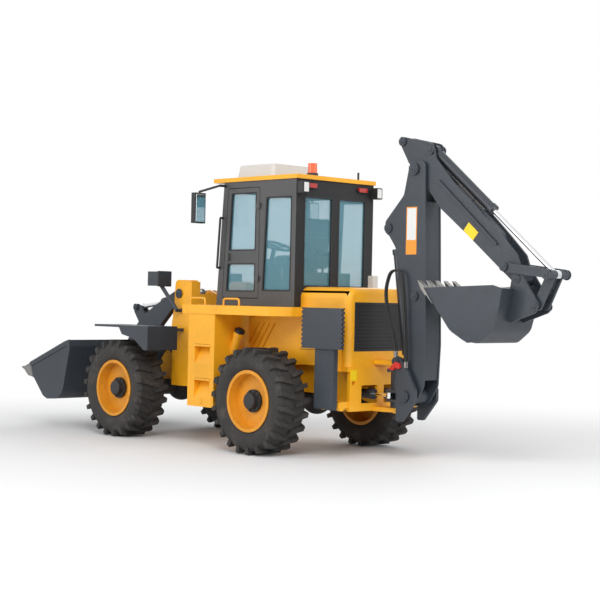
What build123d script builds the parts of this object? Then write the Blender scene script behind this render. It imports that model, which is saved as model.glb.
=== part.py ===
from build123d import *
import math
import os

# Backhoe loader with an articulated frame, in millimetres.
# +X points forwards, +Y to the left, +Z up. The origin lies on the ground under the rear axle's centre.

# Running gear
wheelbase = 2375
track = 1720
tyre_radius = 571
tyre_width = 416
lug_height = 36
lug_pairs = 22
rim_barrel_radius = 305
rim_flange_radius = 330
rim_width = 332
rim_wall = 10
dish_depth = 110
hub_radius = 118
spindle_radius = 55
axle_tube_radius = 88
differential_radius = 178

# Clearances
running_gap = 0.3
eye_gap = 6
ear_gap = 6
panel_gap = 8

# Frame
hinge_x = 1195
hinge_pin_radius = 38
rail_y = 330
rail_thickness = 60
rail_bottom = 660
rail_top = 960
rail_front = 750
rear_plate_x = -960
rear_plate_thickness = 40
frame_bottom = 505
tie_down_y = 415
tie_down_z = 800
tie_down_radius = 22
swing_x = -1200
swing_pin_radius = 42
swing_ear_top = 1040
swing_ear_bottom = 500
swing_ear_root = 108
swing_ear_nose = 66
ear_thickness = 45

# Tanks and decks
platform_y = 1010
tank_inner_y = 610
tank_rear = 600
tank_front = 1045
tank_bottom = 455
deck_bottom = 1480
deck_top = 1578
deck_rear = -360
deck_front = 1150
deck_step_y = 560

# Cab
cab_half_width = 600
cab_rear = -230
cab_front = 1050
cab_front_top = 950
cab_bottom = 1580
cab_top = 2960
cab_wall = 50
glass_thickness = 8
roof_thickness = 46
roof_overhang = 170
roof_unit_height = 165
door_post_x = 345
door_front_x = 925
door_bottom = 1660
door_top = 2890

# Engine hood
hood_rear = -950
hood_half_width = 500
hood_bottom = 965
hood_top = 1800
hood_corner = 120
grille_half_width = 410
grille_bottom = 1130
grille_top = 1645

# Loader
tower_y = 420
arm_thickness = 70
tower_plate = 30
arm_pivot_x = 1850
arm_pivot_z = 1700
arm_pin_radius = 35
bucket_pin_x = 3300
bucket_pin_z = 510
bucket_half_width = 1060
bucket_wall = 22
cross_tube_x = 2680
cross_tube_z = 1185
crank_pivot_x = 2975
crank_pivot_z = 1190
crank_top_x = 3250
crank_top_z = 1517
crank_low_x = 2720
crank_low_z = 905
link_pin_x = 3190
link_pin_z = 712
lift_y = 275
lift_base_x = 1460
lift_base_z = 650
lift_eye_x = 2500
lift_eye_z = 1180

# Hoe
boom_pivot_x = -1470
boom_pivot_z = 690
boom_half_width = 120
boom_cylinder_base_x = -1340
boom_cylinder_base_z = 1040
boom_cylinder_eye_x = -1140
boom_cylinder_eye_z = 2429
stick_pivot_x = -1485
stick_pivot_z = 3030
stick_half_width = 85
stick_cylinder_base_x = -1524
stick_cylinder_base_z = 1722
stick_cylinder_eye_x = -1285
stick_cylinder_eye_z = 3328
bucket_cylinder_base_x = -1665
bucket_cylinder_base_z = 3219
hoe_bucket_pin_x = -2813
hoe_bucket_pin_z = 1908
lever_pin_x = -2680
lever_pin_z = 2023
rod_pin_x = -3200
rod_pin_z = 1950
link_eye_x = -3031
link_eye_z = 1640
hoe_bucket_half_width = 300

# Stabilisers
leg_pivot_y = 570
leg_pivot_z = 560
leg_front = -665
leg_rear = -945
leg_inner_y = 640
leg_thickness = 60
pad_pin_z = 1400
pad_bottom = 1157
pad_top = 1580
pad_front = -495
pad_rear = -1100
pad_thickness = 34
leg_cylinder_x = -805
leg_cylinder_base_y = 550
leg_cylinder_base_z = 1280
leg_cylinder_eye_y = 600
leg_cylinder_eye_z = 760

# Steering and swing cylinders
steer_base_x = 700
steer_base_y = 425
steer_eye_x = 1350
steer_eye_y = 265
steer_z = 800
swing_cylinder_y = 120
swing_cylinder_z = 680
swing_cylinder_base_x = -640


def block(x_low, x_high, y_low, y_high, z_low, z_high, mode=Mode.ADD):
    """Box between two corners."""
    centre = ((x_low + x_high) / 2, (y_low + y_high) / 2, (z_low + z_high) / 2)
    with Locations(centre):
        Box(x_high - x_low, y_high - y_low, z_high - z_low, mode=mode)


def plate(corners, y_low, y_high, mode=Mode.ADD):
    """Side plate from corners (x, z, corner radius), square to Y."""
    with BuildSketch(Plane.XZ.offset(-y_high)) as profile:
        with BuildLine():
            FilletPolyline(*[(x, z) for x, z, r in corners], radius=[r for x, z, r in corners], close=True)
        make_face()
    extrude(profile.sketch, amount=y_high - y_low, mode=mode)


def level_plate(corners, z_low, z_high, mode=Mode.ADD):
    """Flat plate from corners (x, y, corner radius), square to Z."""
    with BuildSketch(Plane.XY.offset(z_low)) as profile:
        with BuildLine():
            FilletPolyline(*[(x, y) for x, y, r in corners], radius=[r for x, y, r in corners], close=True)
        make_face()
    extrude(profile.sketch, amount=z_high - z_low, mode=mode)


def cross_plate(corners, x_low, x_high, mode=Mode.ADD):
    """Plate from corners (y, z, corner radius), square to X."""
    with BuildSketch(Plane.YZ.offset(x_low)) as profile:
        with BuildLine():
            FilletPolyline(*[(y, z) for y, z, r in corners], radius=[r for y, z, r in corners], close=True)
        make_face()
    extrude(profile.sketch, amount=x_high - x_low, mode=mode)


def rod_between(start, end, radius, mode=Mode.ADD):
    """Round bar from one point to another."""
    run = Vector(*end) - Vector(*start)
    with BuildSketch(Plane(origin=start, z_dir=run)) as profile:
        Circle(radius)
    extrude(profile.sketch, amount=run.length, mode=mode)


def pin_y(x, z, radius, y_low, y_high, mode=Mode.ADD):
    """Round bar or hole along Y."""
    rod_between((x, y_low, z), (x, y_high, z), radius, mode)


def toward(start, end, distance):
    """Point at a distance from start on the way to end, in the X-Z plane."""
    length = math.dist(start, end)
    return (
        start[0] + (end[0] - start[0]) * distance / length,
        start[1] + (end[1] - start[1]) * distance / length,
    )


def mirrored(y_low, y_high):
    """The same Y span on the left and on the right."""
    return ((y_low, y_high), (-y_high, -y_low))


os.makedirs("parts", exist_ok=True)

axle_z = tyre_radius
wheel_y = track / 2
carcass_radius = tyre_radius - lug_height
half_tyre = tyre_width / 2
bead = rim_width / 2 + running_gap

# Tyre with two staggered rows of slanted lugs, made about its own centre
with BuildPart() as tyre_form:
    with BuildSketch(Plane.XY) as tyre_section:
        with BuildLine():
            inner = rim_barrel_radius + running_gap
            Polyline((inner, bead - 12), (inner, -bead + 12), (rim_flange_radius + 6, -bead + 4))
            ThreePointArc(
                (rim_flange_radius + 6, -bead + 4),
                (rim_flange_radius + 100, -half_tyre),
                (carcass_radius - 35, -half_tyre + 16),
            )
            Line((carcass_radius - 35, -half_tyre + 16), (carcass_radius - 6, -half_tyre + 48))
            ThreePointArc(
                (carcass_radius - 6, -half_tyre + 48),
                (carcass_radius, 0),
                (carcass_radius - 6, half_tyre - 48),
            )
            Line((carcass_radius - 6, half_tyre - 48), (carcass_radius - 35, half_tyre - 16))
            ThreePointArc(
                (carcass_radius - 35, half_tyre - 16),
                (rim_flange_radius + 100, half_tyre),
                (rim_flange_radius + 6, bead - 4),
            )
            Line((rim_flange_radius + 6, bead - 4), (inner, bead - 12))
        make_face()
    revolve(tyre_section.sketch, axis=Axis.Y)

# Lug footprint seen from above the tread: columns are the place round the tread and across it
lug_footprint = (
    (-30, 0), (8, 12), (22, 70), (52, 120),
    (60, half_tyre - 2), (16, half_tyre - 2), (-6, 118), (-22, 62),
)
with BuildPart() as lug_form:
    with BuildSketch(Plane.XY.offset(carcass_radius - 45)) as lug_plan:
        with BuildLine():
            Polyline(*lug_footprint, close=True)
        make_face()
    lug_reach = max(place for place, across in lug_footprint)
    lug_tip = math.sqrt(tyre_radius**2 - lug_reach**2)
    extrude(lug_plan.sketch, amount=lug_tip - carcass_radius + 45)
    lug_shoulder = lug_form.edges().filter_by(Axis.X).group_by(Axis.Z)[-1].sort_by(Axis.Y)[-1]
    chamfer(lug_shoulder, length=26, length2=12)

lug_pitch = 360 / lug_pairs
lugs = []
for step in range(lug_pairs):
    for side, shift in ((1, 0), (-1, 0.5)):
        lug = lug_form.part if side == 1 else lug_form.part.mirror(Plane.XZ)
        lugs.append(lug.rotate(Axis.Y, lug_pitch * (step + shift)))
with BuildPart() as lugged_tyre:
    add(tyre_form.part)
    add(lugs)

# Rim with a deep dish, its hub and planetary cover, about its own centre with the cover towards +Y
disc_y = rim_width / 2 - dish_depth
with BuildPart() as rim_form:
    with BuildSketch(Plane.XY) as rim_section:
        with BuildLine():
            Polyline(
                (rim_barrel_radius, -rim_width / 2),
                (rim_barrel_radius, rim_width / 2),
                (rim_flange_radius, rim_width / 2),
                (rim_flange_radius, rim_width / 2 + 12),
                (rim_barrel_radius - rim_wall, rim_width / 2 + 12),
                (rim_barrel_radius - rim_wall - 14, disc_y + 8),
                (hub_radius + 42, disc_y + 14),
                (hub_radius, disc_y + 14),
                (spindle_radius + 30, disc_y + 40),
                (spindle_radius + 30, disc_y + 100),
                (hub_radius - 45, disc_y + 108),
                (0, disc_y + 112),
                (0, disc_y - 20),
                (spindle_radius + running_gap, disc_y - 20),
                (spindle_radius + running_gap, disc_y - 130),
                (hub_radius, disc_y - 130),
                (hub_radius, disc_y - 10),
                (rim_barrel_radius - rim_wall - 14, disc_y - 10),
                (rim_barrel_radius - rim_wall, -rim_width / 2 - 12),
                (rim_flange_radius, -rim_width / 2 - 12),
                (rim_flange_radius, -rim_width / 2),
                close=True,
            )
        make_face()
    revolve(rim_section.sketch, axis=Axis.Y)
    with BuildSketch(Plane.XZ.offset(-(disc_y + 14))) as hub_ring:
        Circle(hub_radius + 4)
    extrude(hub_ring.sketch, amount=-34)
    with BuildSketch(Plane.XZ.offset(-(disc_y + 48))) as hub_bolts:
        with PolarLocations(hub_radius - 14, 10):
            Circle(11)
    extrude(hub_bolts.sketch, amount=-14)

# Wheels: name, place along X, side
wheels = (
    ("rear_left", 0, 1),
    ("rear_right", 0, -1),
    ("front_left", wheelbase, 1),
    ("front_right", wheelbase, -1),
)
for wheel_name, wheel_x, side in wheels:
    place = Location((wheel_x, side * wheel_y, axle_z))
    with BuildPart() as tyre:
        add(lugged_tyre.part.moved(place))
    tyre.part.label = wheel_name + "_tyre"
    export_step(tyre.part, "parts/" + tyre.part.label + ".step")
    turned = rim_form.part if side == 1 else rim_form.part.rotate(Axis.Z, 180)
    with BuildPart() as rim:
        add(turned.moved(place))
    rim.part.label = wheel_name + "_rim"
    export_step(rim.part, "parts/" + rim.part.label + ".step")

# Axles: housing, differential, tubes and the spindles that carry the wheels
shaft_z = 570
keel_half = 200
for axle_name, axle_x, axle_pad_y in (("rear_axle", 0, rail_y), ("front_axle", wheelbase, keel_half)):
    with BuildPart() as axle:
        with Locations((axle_x, 0, axle_z)):
            Sphere(differential_radius)
        spindle_end = wheel_y + disc_y - 20 - running_gap
        hub_face = wheel_y + disc_y - 130 - running_gap
        pin_y(axle_x, axle_z, axle_tube_radius, -hub_face, hub_face)
        pin_y(axle_x, axle_z, spindle_radius, -spindle_end, spindle_end)
        for y_low, y_high in mirrored(hub_face - 60, hub_face):
            pin_y(axle_x, axle_z, hub_radius - 5, y_low, y_high)
        for y_low, y_high in mirrored(axle_pad_y - 60, axle_pad_y + 60):
            block(axle_x - 80, axle_x + 80, y_low, y_high, axle_z, rail_bottom)
        nose = differential_radius + 90
        nose_side = 1 if axle_x == 0 else -1
        rod_between((axle_x, 0, axle_z), (axle_x + nose_side * nose, 0, axle_z), 70)
        if axle_x > hinge_x:
            rod_between((hinge_x + 20, 0, shaft_z), (axle_x - nose + 10, 0, shaft_z), 36)
            rod_between((hinge_x + 20, 0, shaft_z), (hinge_x + 70, 0, shaft_z), 44)
    axle.part.label = axle_name
    export_step(axle.part, "parts/" + axle_name + ".step")

# Rear frame: rails, hinge ears, rear plate with swing ears and stabiliser bosses, and the cab's floor posts
hinge_ear_bottoms = (rail_bottom - 20, rail_top - 45)
ear_nose = 110
with BuildPart() as rear_frame:
    for y_low, y_high in mirrored(rail_y - rail_thickness / 2, rail_y + rail_thickness / 2):
        rail = (
            (rear_plate_x, frame_bottom, 0),
            (rear_plate_x, rail_top, 0),
            (rail_front, rail_top, 0),
            (rail_front, rail_bottom, 0),
            (-320, rail_bottom, 60),
            (-420, frame_bottom + 60, 60),
            (-700, frame_bottom, 40),
        )
        plate(rail, y_low, y_high)
    for z_low in hinge_ear_bottoms:
        ear = (
            (700, -rail_y, 0),
            (700, rail_y, 0),
            (880, rail_y, 40),
            (hinge_x + ear_nose, 60, 60),
            (hinge_x + ear_nose, -60, 60),
            (880, -rail_y, 40),
        )
        level_plate(ear, z_low, z_low + ear_thickness)
    rod_between(
        (hinge_x, 0, hinge_ear_bottoms[0] - 15),
        (hinge_x, 0, hinge_ear_bottoms[1] + ear_thickness + 15),
        hinge_pin_radius,
    )
    block(rear_plate_x, rear_plate_x + rear_plate_thickness, -470, 470, frame_bottom, hood_bottom)
    for y_low, y_high in mirrored(rail_y, tank_inner_y):
        block(tank_rear + 60, tank_rear + 200, y_low, y_high, rail_top - 105, rail_top - 35)
    for y_low, y_high in mirrored(rail_y, leg_pivot_y):
        for x_low, x_high in ((leg_rear, leg_rear + 40), (leg_front - 40, leg_front)):
            block(x_low, x_high, y_low, y_high, leg_pivot_z - 20, leg_pivot_z + 48)
    for z_low, z_high in (
        (swing_ear_bottom, swing_ear_bottom + ear_thickness),
        (swing_ear_top - ear_thickness, swing_ear_top),
    ):
        swing_ear = (
            (rear_plate_x + 1, -swing_ear_root, 0),
            (swing_x - swing_ear_nose, -swing_ear_nose, 50),
            (swing_x - swing_ear_nose, swing_ear_nose, 50),
            (rear_plate_x + 1, swing_ear_root, 0),
        )
        level_plate(swing_ear, z_low, z_high)
    rod_between(
        (swing_x, 0, swing_ear_bottom - 12),
        (swing_x, 0, swing_ear_top + 12),
        swing_pin_radius,
    )
    for y in (leg_pivot_y, -leg_pivot_y):
        for x_low, x_high in ((leg_rear, leg_rear + 40), (leg_front - 40, leg_front)):
            rod_between((x_low, y, leg_pivot_z), (x_high, y, leg_pivot_z), 48)
        rod_between((leg_rear, y, leg_pivot_z), (leg_front, y, leg_pivot_z), 30)
    block(rear_plate_x, leg_cylinder_x + 60, -505, 505, hood_bottom - 45, hood_bottom)
    for side in (1, -1):
        post_y = sorted((side * (hood_half_width + 3), side * (leg_cylinder_base_y + 34)))
        foot_y = sorted((side * (hood_half_width - 40), side * (leg_cylinder_base_y + 34)))
        for x_inner, x_outer in ((-60, -42), (42, 60)):
            x_low, x_high = leg_cylinder_x + x_inner, leg_cylinder_x + x_outer
            block(x_low, x_high, post_y[0], post_y[1], hood_bottom - 45, leg_cylinder_base_z + 38)
            block(x_low, x_high, foot_y[0], foot_y[1], hood_bottom - 45, hood_bottom)
        base_y = side * leg_cylinder_base_y
        rod_between(
            (leg_cylinder_x - 60, base_y, leg_cylinder_base_z),
            (leg_cylinder_x + 60, base_y, leg_cylinder_base_z),
            20
        )
        steer_y = side * steer_base_y
        bracket_y = sorted((side * rail_y, side * (steer_base_y + 38)))
        for z_low in (steer_z - 24 - running_gap - 20, steer_z + 24 + running_gap):
            block(steer_base_x - 40, steer_base_x + 40, bracket_y[0], bracket_y[1], z_low, z_low + 20)
        rod_between((steer_base_x, steer_y, steer_z - 52), (steer_base_x, steer_y, steer_z + 52), 20)
        ear_y = sorted((side * (swing_cylinder_y - 40), side * rail_y))
        for z_low in (swing_cylinder_z - 30 - running_gap - 20, swing_cylinder_z + 30 + running_gap):
            block(
                swing_cylinder_base_x - 45, swing_cylinder_base_x + 45, ear_y[0], ear_y[1], z_low, z_low + 20
            )
        rod_between(
            (swing_cylinder_base_x, side * swing_cylinder_y, swing_cylinder_z - 56),
            (swing_cylinder_base_x, side * swing_cylinder_y, swing_cylinder_z + 56), 24,
        )
        window_y = sorted((side * 50, side * (rail_y - rail_thickness / 2 - 5)))
        block(
            rear_plate_x - 1, rear_plate_x + rear_plate_thickness, window_y[0], window_y[1],
            swing_cylinder_z - 95, swing_cylinder_z + 95, Mode.SUBTRACT,
        )
        rod_between(
            (rear_plate_x - 1, side * tie_down_y, tie_down_z),
            (rear_plate_x + rear_plate_thickness + 1, side * tie_down_y, tie_down_z),
            tie_down_radius, Mode.SUBTRACT,
        )
rear_frame.part.label = "rear_frame"
export_step(rear_frame.part, "parts/rear_frame.step")

# Side tanks with step pockets, each fused with its deck and filler neck
step_levels = (1120, 745)
with BuildPart() as side_platforms:
    for side in (1, -1):
        y_low, y_high = (tank_inner_y, platform_y - 10) if side == 1 else (-platform_y + 10, -tank_inner_y)
        block(tank_rear, tank_front, y_low, y_high, tank_bottom, deck_bottom)
        y_outer = side * (platform_y - 10)
        for step_z in step_levels:
            pocket = (
                (y_outer, step_z, 0),
                (y_outer, step_z - 190, 0),
                (y_outer - side * 95, step_z, 0),
            )
            cross_plate(pocket, tank_rear + 70, tank_rear + 330, Mode.SUBTRACT)
            tread = (y_outer - 25, y_outer + 8) if side == 1 else (y_outer - 8, y_outer + 25)
            block(tank_rear + 60, tank_rear + 340, tread[0], tread[1], step_z, step_z + 22)
        deck = (
            (deck_rear, side * (hood_half_width + 4), 0),
            (deck_rear, side * (platform_y - 260), 0),
            (deck_rear + 95, side * platform_y, 0),
            (deck_front, side * platform_y, 0),
            (deck_front, side * deck_step_y, 0),
            (deck_front - 420, side * 290, 0),
            (cab_rear + 4, side * 290, 0),
            (cab_rear + 4, side * (hood_half_width + 4), 0),
        )
        level_plate(deck, deck_bottom, deck_top)
        neck_y = side * (tank_inner_y + 110)
        rod_between((tank_rear + 20, neck_y, 1060), (tank_rear - 70, neck_y, 1240), 52)
        rod_between((tank_rear - 70, neck_y, 1240), (tank_rear - 92, neck_y, 1284), 62)
side_platforms.part.label = "side_platforms"
export_step(side_platforms.part, "parts/side_platforms.step")

# Cab shell: hollow, leaning windscreen, windows and doorways cut
cab_inner = cab_half_width - cab_wall
window_rear_low = 1800
window_top = 2780
front_window = (1700, 2850)
cab_profile = (
    (cab_rear, cab_bottom, 0),
    (cab_rear, cab_top, 0),
    (cab_front_top, cab_top, 0),
    (cab_front, cab_bottom, 0),
)
lean = (cab_front - cab_front_top) / (cab_top - cab_bottom)


def cab_front_at(z, inset=0):
    """Place of the leaning front wall at a height."""
    return cab_front - (z - cab_bottom) * lean - inset


cab_hollow = (
    (cab_rear + cab_wall, cab_bottom + cab_wall, 0),
    (cab_rear + cab_wall, cab_top - cab_wall, 0),
    (cab_front_at(cab_top - cab_wall, cab_wall), cab_top - cab_wall, 0),
    (cab_front_at(cab_bottom + cab_wall, cab_wall), cab_bottom + cab_wall, 0),
)
side_window = (
    (-165, 1745, 30),
    (-165, 2775, 30),
    (245, 2775, 30),
    (290, 1745, 30),
)
rear_windows = ((45, 480), (-480, -45))
doorway = (
    (door_post_x, door_bottom, 25),
    (door_post_x, door_top, 25),
    (door_front_x - 45, door_top, 25),
    (door_front_x + 30, door_bottom, 25),
)
with BuildPart() as cab_shell:
    plate(cab_profile, -cab_half_width, cab_half_width)
    plate(cab_hollow, -cab_inner, cab_inner, Mode.SUBTRACT)
    plate(side_window, -cab_half_width, cab_half_width, Mode.SUBTRACT)
    plate(doorway, -cab_half_width, cab_half_width, Mode.SUBTRACT)
    for y_low, y_high in rear_windows:
        block(cab_rear, cab_rear + cab_wall, y_low, y_high, window_rear_low, window_top, Mode.SUBTRACT)
    block(cab_front_top - 120, cab_front, -cab_inner + 40, cab_inner - 40, *front_window, Mode.SUBTRACT)
cab_shell.part.label = "cab_shell"
export_step(cab_shell.part, "parts/cab_shell.step")

# Fixed panes, each seated in its window
with BuildPart() as cab_glass:
    pane_offset = (cab_wall - glass_thickness) / 2
    for y_low, y_high in mirrored(cab_inner + pane_offset, cab_inner + pane_offset + glass_thickness):
        plate(side_window, y_low, y_high)
    for y_low, y_high in rear_windows:
        block(
            cab_rear + pane_offset, cab_rear + pane_offset + glass_thickness,
            y_low, y_high, window_rear_low, window_top,
        )
    screen = (
        (cab_front_at(front_window[0], pane_offset + glass_thickness), front_window[0], 0),
        (cab_front_at(front_window[1], pane_offset + glass_thickness), front_window[1], 0),
        (cab_front_at(front_window[1], pane_offset), front_window[1], 0),
        (cab_front_at(front_window[0], pane_offset), front_window[0], 0),
    )
    plate(screen, -cab_inner + 40, cab_inner - 40)
cab_glass.part.label = "cab_glass"
export_step(cab_glass.part, "parts/cab_glass.step")

# Doors: frame with two openings and their panes, hinged on the middle post
door_gap = panel_gap
door_outline = (
    (door_post_x + door_gap, door_bottom + door_gap, 20),
    (door_post_x + door_gap, door_top - door_gap, 20),
    (door_front_x - 45 - door_gap, door_top - door_gap, 20),
    (door_front_x + 30 - door_gap, door_bottom + door_gap, 20),
)
door_panes = (
    ((405, 2190, 22), (405, 2835, 22), (820, 2835, 22), (858, 2190, 22)),
    ((405, 1735, 22), (405, 2050, 22), (872, 2050, 22), (890, 1735, 22)),
)
for door_name, side in (("left_door", 1), ("right_door", -1)):
    with BuildPart() as door:
        y_low, y_high = (cab_inner, cab_half_width) if side == 1 else (-cab_half_width, -cab_inner)
        plate(door_outline, y_low, y_high)
        for pane in door_panes:
            plate(pane, y_low, y_high, Mode.SUBTRACT)
        for pane in door_panes:
            plate(pane, y_low + pane_offset, y_low + pane_offset + glass_thickness)
        grip_low, grip_high = (y_high, y_high + 30) if side == 1 else (y_low - 30, y_low)
        block(830, 868, grip_low, grip_high, 2080, 2160)
        for hinge_z in (1850, 2650):
            knuckle_y = side * (cab_half_width + 16 + running_gap)
            rod_between((door_post_x, knuckle_y, hinge_z), (door_post_x, knuckle_y, hinge_z + 60), 14)
            leaf = (knuckle_y - 16, knuckle_y - 8) if side == 1 else (knuckle_y + 8, knuckle_y + 16)
            block(door_post_x, door_post_x + 60, leaf[0], leaf[1], hinge_z, hinge_z + 60)
    door.part.label = door_name
    export_step(door.part, "parts/" + door_name + ".step")

# Roof slab with the air unit on its front half
with BuildPart() as cab_roof:
    block(
        cab_rear - 20, cab_front_top + roof_overhang, -cab_half_width - 15, cab_half_width + 15,
        cab_top, cab_top + roof_thickness,
    )
    with BuildSketch(Plane.XY.offset(cab_top + roof_thickness)) as unit_base:
        with Locations((700, 0)):
            RectangleRounded(640, 760, 60)
    extrude(unit_base.sketch, amount=roof_unit_height, taper=12)
cab_roof.part.label = "cab_roof"
export_step(cab_roof.part, "parts/cab_roof.step")

# Inside: floor console with the steering wheel, and the hoe's lever tower at the back
console_x = 800
seat_base_z = 2010
floor_z = cab_bottom + cab_wall
with BuildPart() as cab_interior:
    console = (
        (console_x - 60, floor_z, 0), (console_x - 40, 2080, 30),
        (console_x + 60, 2140, 30), (console_x + 130, floor_z, 0),
    )
    plate(console, -130, 130)
    block(180, 460, -140, 140, floor_z, seat_base_z - running_gap)
    rod_between((console_x, 0, 2080), (console_x - 60, 0, 2260), 26)
    with BuildSketch(Plane(origin=(console_x - 60, 0, 2260), z_dir=(-60, 0, 180))) as wheel_disc:
        Circle(190)
        Circle(160, mode=Mode.SUBTRACT)
        Rectangle(330, 34)
        Rectangle(34, 330)
    extrude(wheel_disc.sketch, amount=24)
    block(cab_rear + cab_wall, cab_rear + cab_wall + 130, -300, 300, floor_z, 1960)
    for lever_y in (-180, -60, 60, 180):
        rod_between((cab_rear + 120, lever_y, 1950), (cab_rear + 145, lever_y, 2160), 11)
        with Locations((cab_rear + 147, lever_y, 2175)):
            Sphere(26)
cab_interior.part.label = "cab_interior"
export_step(cab_interior.part, "parts/cab_interior.step")

# Seat on its pedestal
with BuildPart() as seat:
    seat_profile = (
        (80, seat_base_z, 40),
        (80, 2130, 20),
        (30, 2560, 40),
        (120, 2600, 40),
        (190, 2180, 40),
        (560, 2150, 50),
        (560, seat_base_z, 30),
    )
    plate(seat_profile, -245, 245)
seat.part.label = "seat"
export_step(seat.part, "parts/seat.step")

# Rounded engine hood behind the cab with side louvres, open at the back for the grille
with BuildPart() as engine_hood:
    hood_front = cab_rear
    with BuildSketch(Plane.YZ.offset(hood_rear)) as hood_section:
        with BuildLine():
            FilletPolyline(
                (-hood_half_width, hood_bottom),
                (-hood_half_width, hood_top),
                (hood_half_width, hood_top),
                (hood_half_width, hood_bottom),
                radius=[0, hood_corner, hood_corner, 0],
                close=True,
            )
        make_face()
    extrude(hood_section.sketch, amount=hood_front - hood_rear)
    hood_edges = engine_hood.faces().sort_by(Axis.X)[0].edges().sort_by(Axis.Z)[1:]
    fillet(hood_edges, radius=70)
    block(
        hood_rear + 30, hood_front + 1, -hood_half_width + 14, hood_half_width - 14,
        hood_bottom - 1, hood_top - 40, Mode.SUBTRACT,
    )
    block(
        hood_rear - 1, hood_rear + 31, -grille_half_width, grille_half_width,
        grille_bottom, grille_top, Mode.SUBTRACT,
    )
    for y_low, y_high in mirrored(hood_half_width - 60, hood_half_width):
        block(hood_front, tank_rear, y_low, y_high, rail_top, deck_bottom)
    for louvre in range(7):
        x = 90 + 85 * louvre
        for y_low, y_high in mirrored(hood_half_width - 14, hood_half_width + 1):
            slot = ((x, 1110, 0), (x + 34, 1110, 0), (x - 166, 1400, 0), (x - 200, 1400, 0))
            if x > 290:
                plate(slot, y_low, y_high, Mode.SUBTRACT)
engine_hood.part.label = "engine_hood"
export_step(engine_hood.part, "parts/engine_hood.step")

# Grille set in the hood's rear face: a frame with level slats
with BuildPart() as rear_grille:
    x_low, x_high = hood_rear + 4, hood_rear + 30
    block(x_low, x_high, -grille_half_width, grille_half_width, grille_bottom, grille_top)
    block(
        x_low - 1, x_high - 8, -grille_half_width + 26, grille_half_width - 26,
        grille_bottom + 26, grille_top - 26, Mode.SUBTRACT,
    )
    slat_count = 12
    slat_pitch = (grille_top - grille_bottom - 52) / slat_count
    for slat in range(slat_count):
        z = grille_bottom + 26 + slat_pitch * (slat + 0.5)
        block(x_low + 4, x_high - 8, -grille_half_width + 26, grille_half_width - 26, z - 6, z + 6)
rear_grille.part.label = "rear_grille"
export_step(rear_grille.part, "parts/rear_grille.step")

# Power line: engine as one plain block, gearbox below it and the two drive shafts
with BuildPart() as drivetrain:
    block(-830, -40, -250, 250, 1010, 1560)
    block(-40, 420, -210, 210, 780, 1300)
    block(320, 560, -190, 190, 520, 790)
    rod_between((differential_radius + 90, 0, axle_z), (320, 0, axle_z), 36)
    rod_between((560, 0, shaft_z), (hinge_x - 45, 0, shaft_z), 36)
    rod_between((hinge_x - 70, 0, shaft_z), (hinge_x - 20, 0, shaft_z), 44)
drivetrain.part.label = "drivetrain"
export_step(drivetrain.part, "parts/drivetrain.step")

# Cab fittings: mirrors on arms, grab rails, work lamps, tail lamps, beacon and aerial
with BuildPart() as cab_fittings:
    roof_top = cab_top + roof_thickness
    for side in (1, -1):
        y_wall = side * cab_half_width
        mirror_x = cab_front_at(2920) - 30
        arm_root = (mirror_x, y_wall, 2920)
        arm_elbow = (mirror_x, side * (cab_half_width + 90), 2920)
        arm_end = (mirror_x + 130, side * (cab_half_width + 290), 2840)
        rod_between(arm_root, arm_elbow, 15)
        rod_between(arm_elbow, arm_end, 13)
        with Locations((arm_end[0], arm_end[1], 2660)):
            Box(70, 150, 340)
        grip_y = side * (cab_half_width + 45)
        grip_ends = [(cab_front_at(z, 22), z) for z in (2000, 2560)]
        grip_low, grip_high = grip_ends[0], grip_ends[1]
        rod_between((grip_low[0], grip_y, grip_low[1]), (grip_high[0], grip_y, grip_high[1]), 13)
        for x, z in grip_ends:
            rod_between((x, y_wall, z), (x, grip_y, z), 13)
        lamp_y = (y_wall - 75, y_wall + 15) if side == 1 else (y_wall - 15, y_wall + 75)
        block(cab_rear - 120, cab_rear - 30, lamp_y[0], lamp_y[1], 2800, 2925)
        block(cab_rear - 30, cab_rear, lamp_y[0] + 30, lamp_y[1] - 30, 2840, 2880)
        tail_y = sorted((side * 330, side * 460))
        block(cab_rear - 42, cab_rear, tail_y[0], tail_y[1], 2868, 2915)
    rod_between((-60, 200, roof_top), (-60, 200, roof_top + 42), 62)
    rod_between((-60, 200, roof_top + 42), (-60, 200, roof_top + 150), 52)
    rod_between((-160, -420, roof_top), (-160, -420, roof_top + 90), 12)
cab_fittings.part.label = "cab_fittings"
export_step(cab_fittings.part, "parts/cab_fittings.step")

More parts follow.
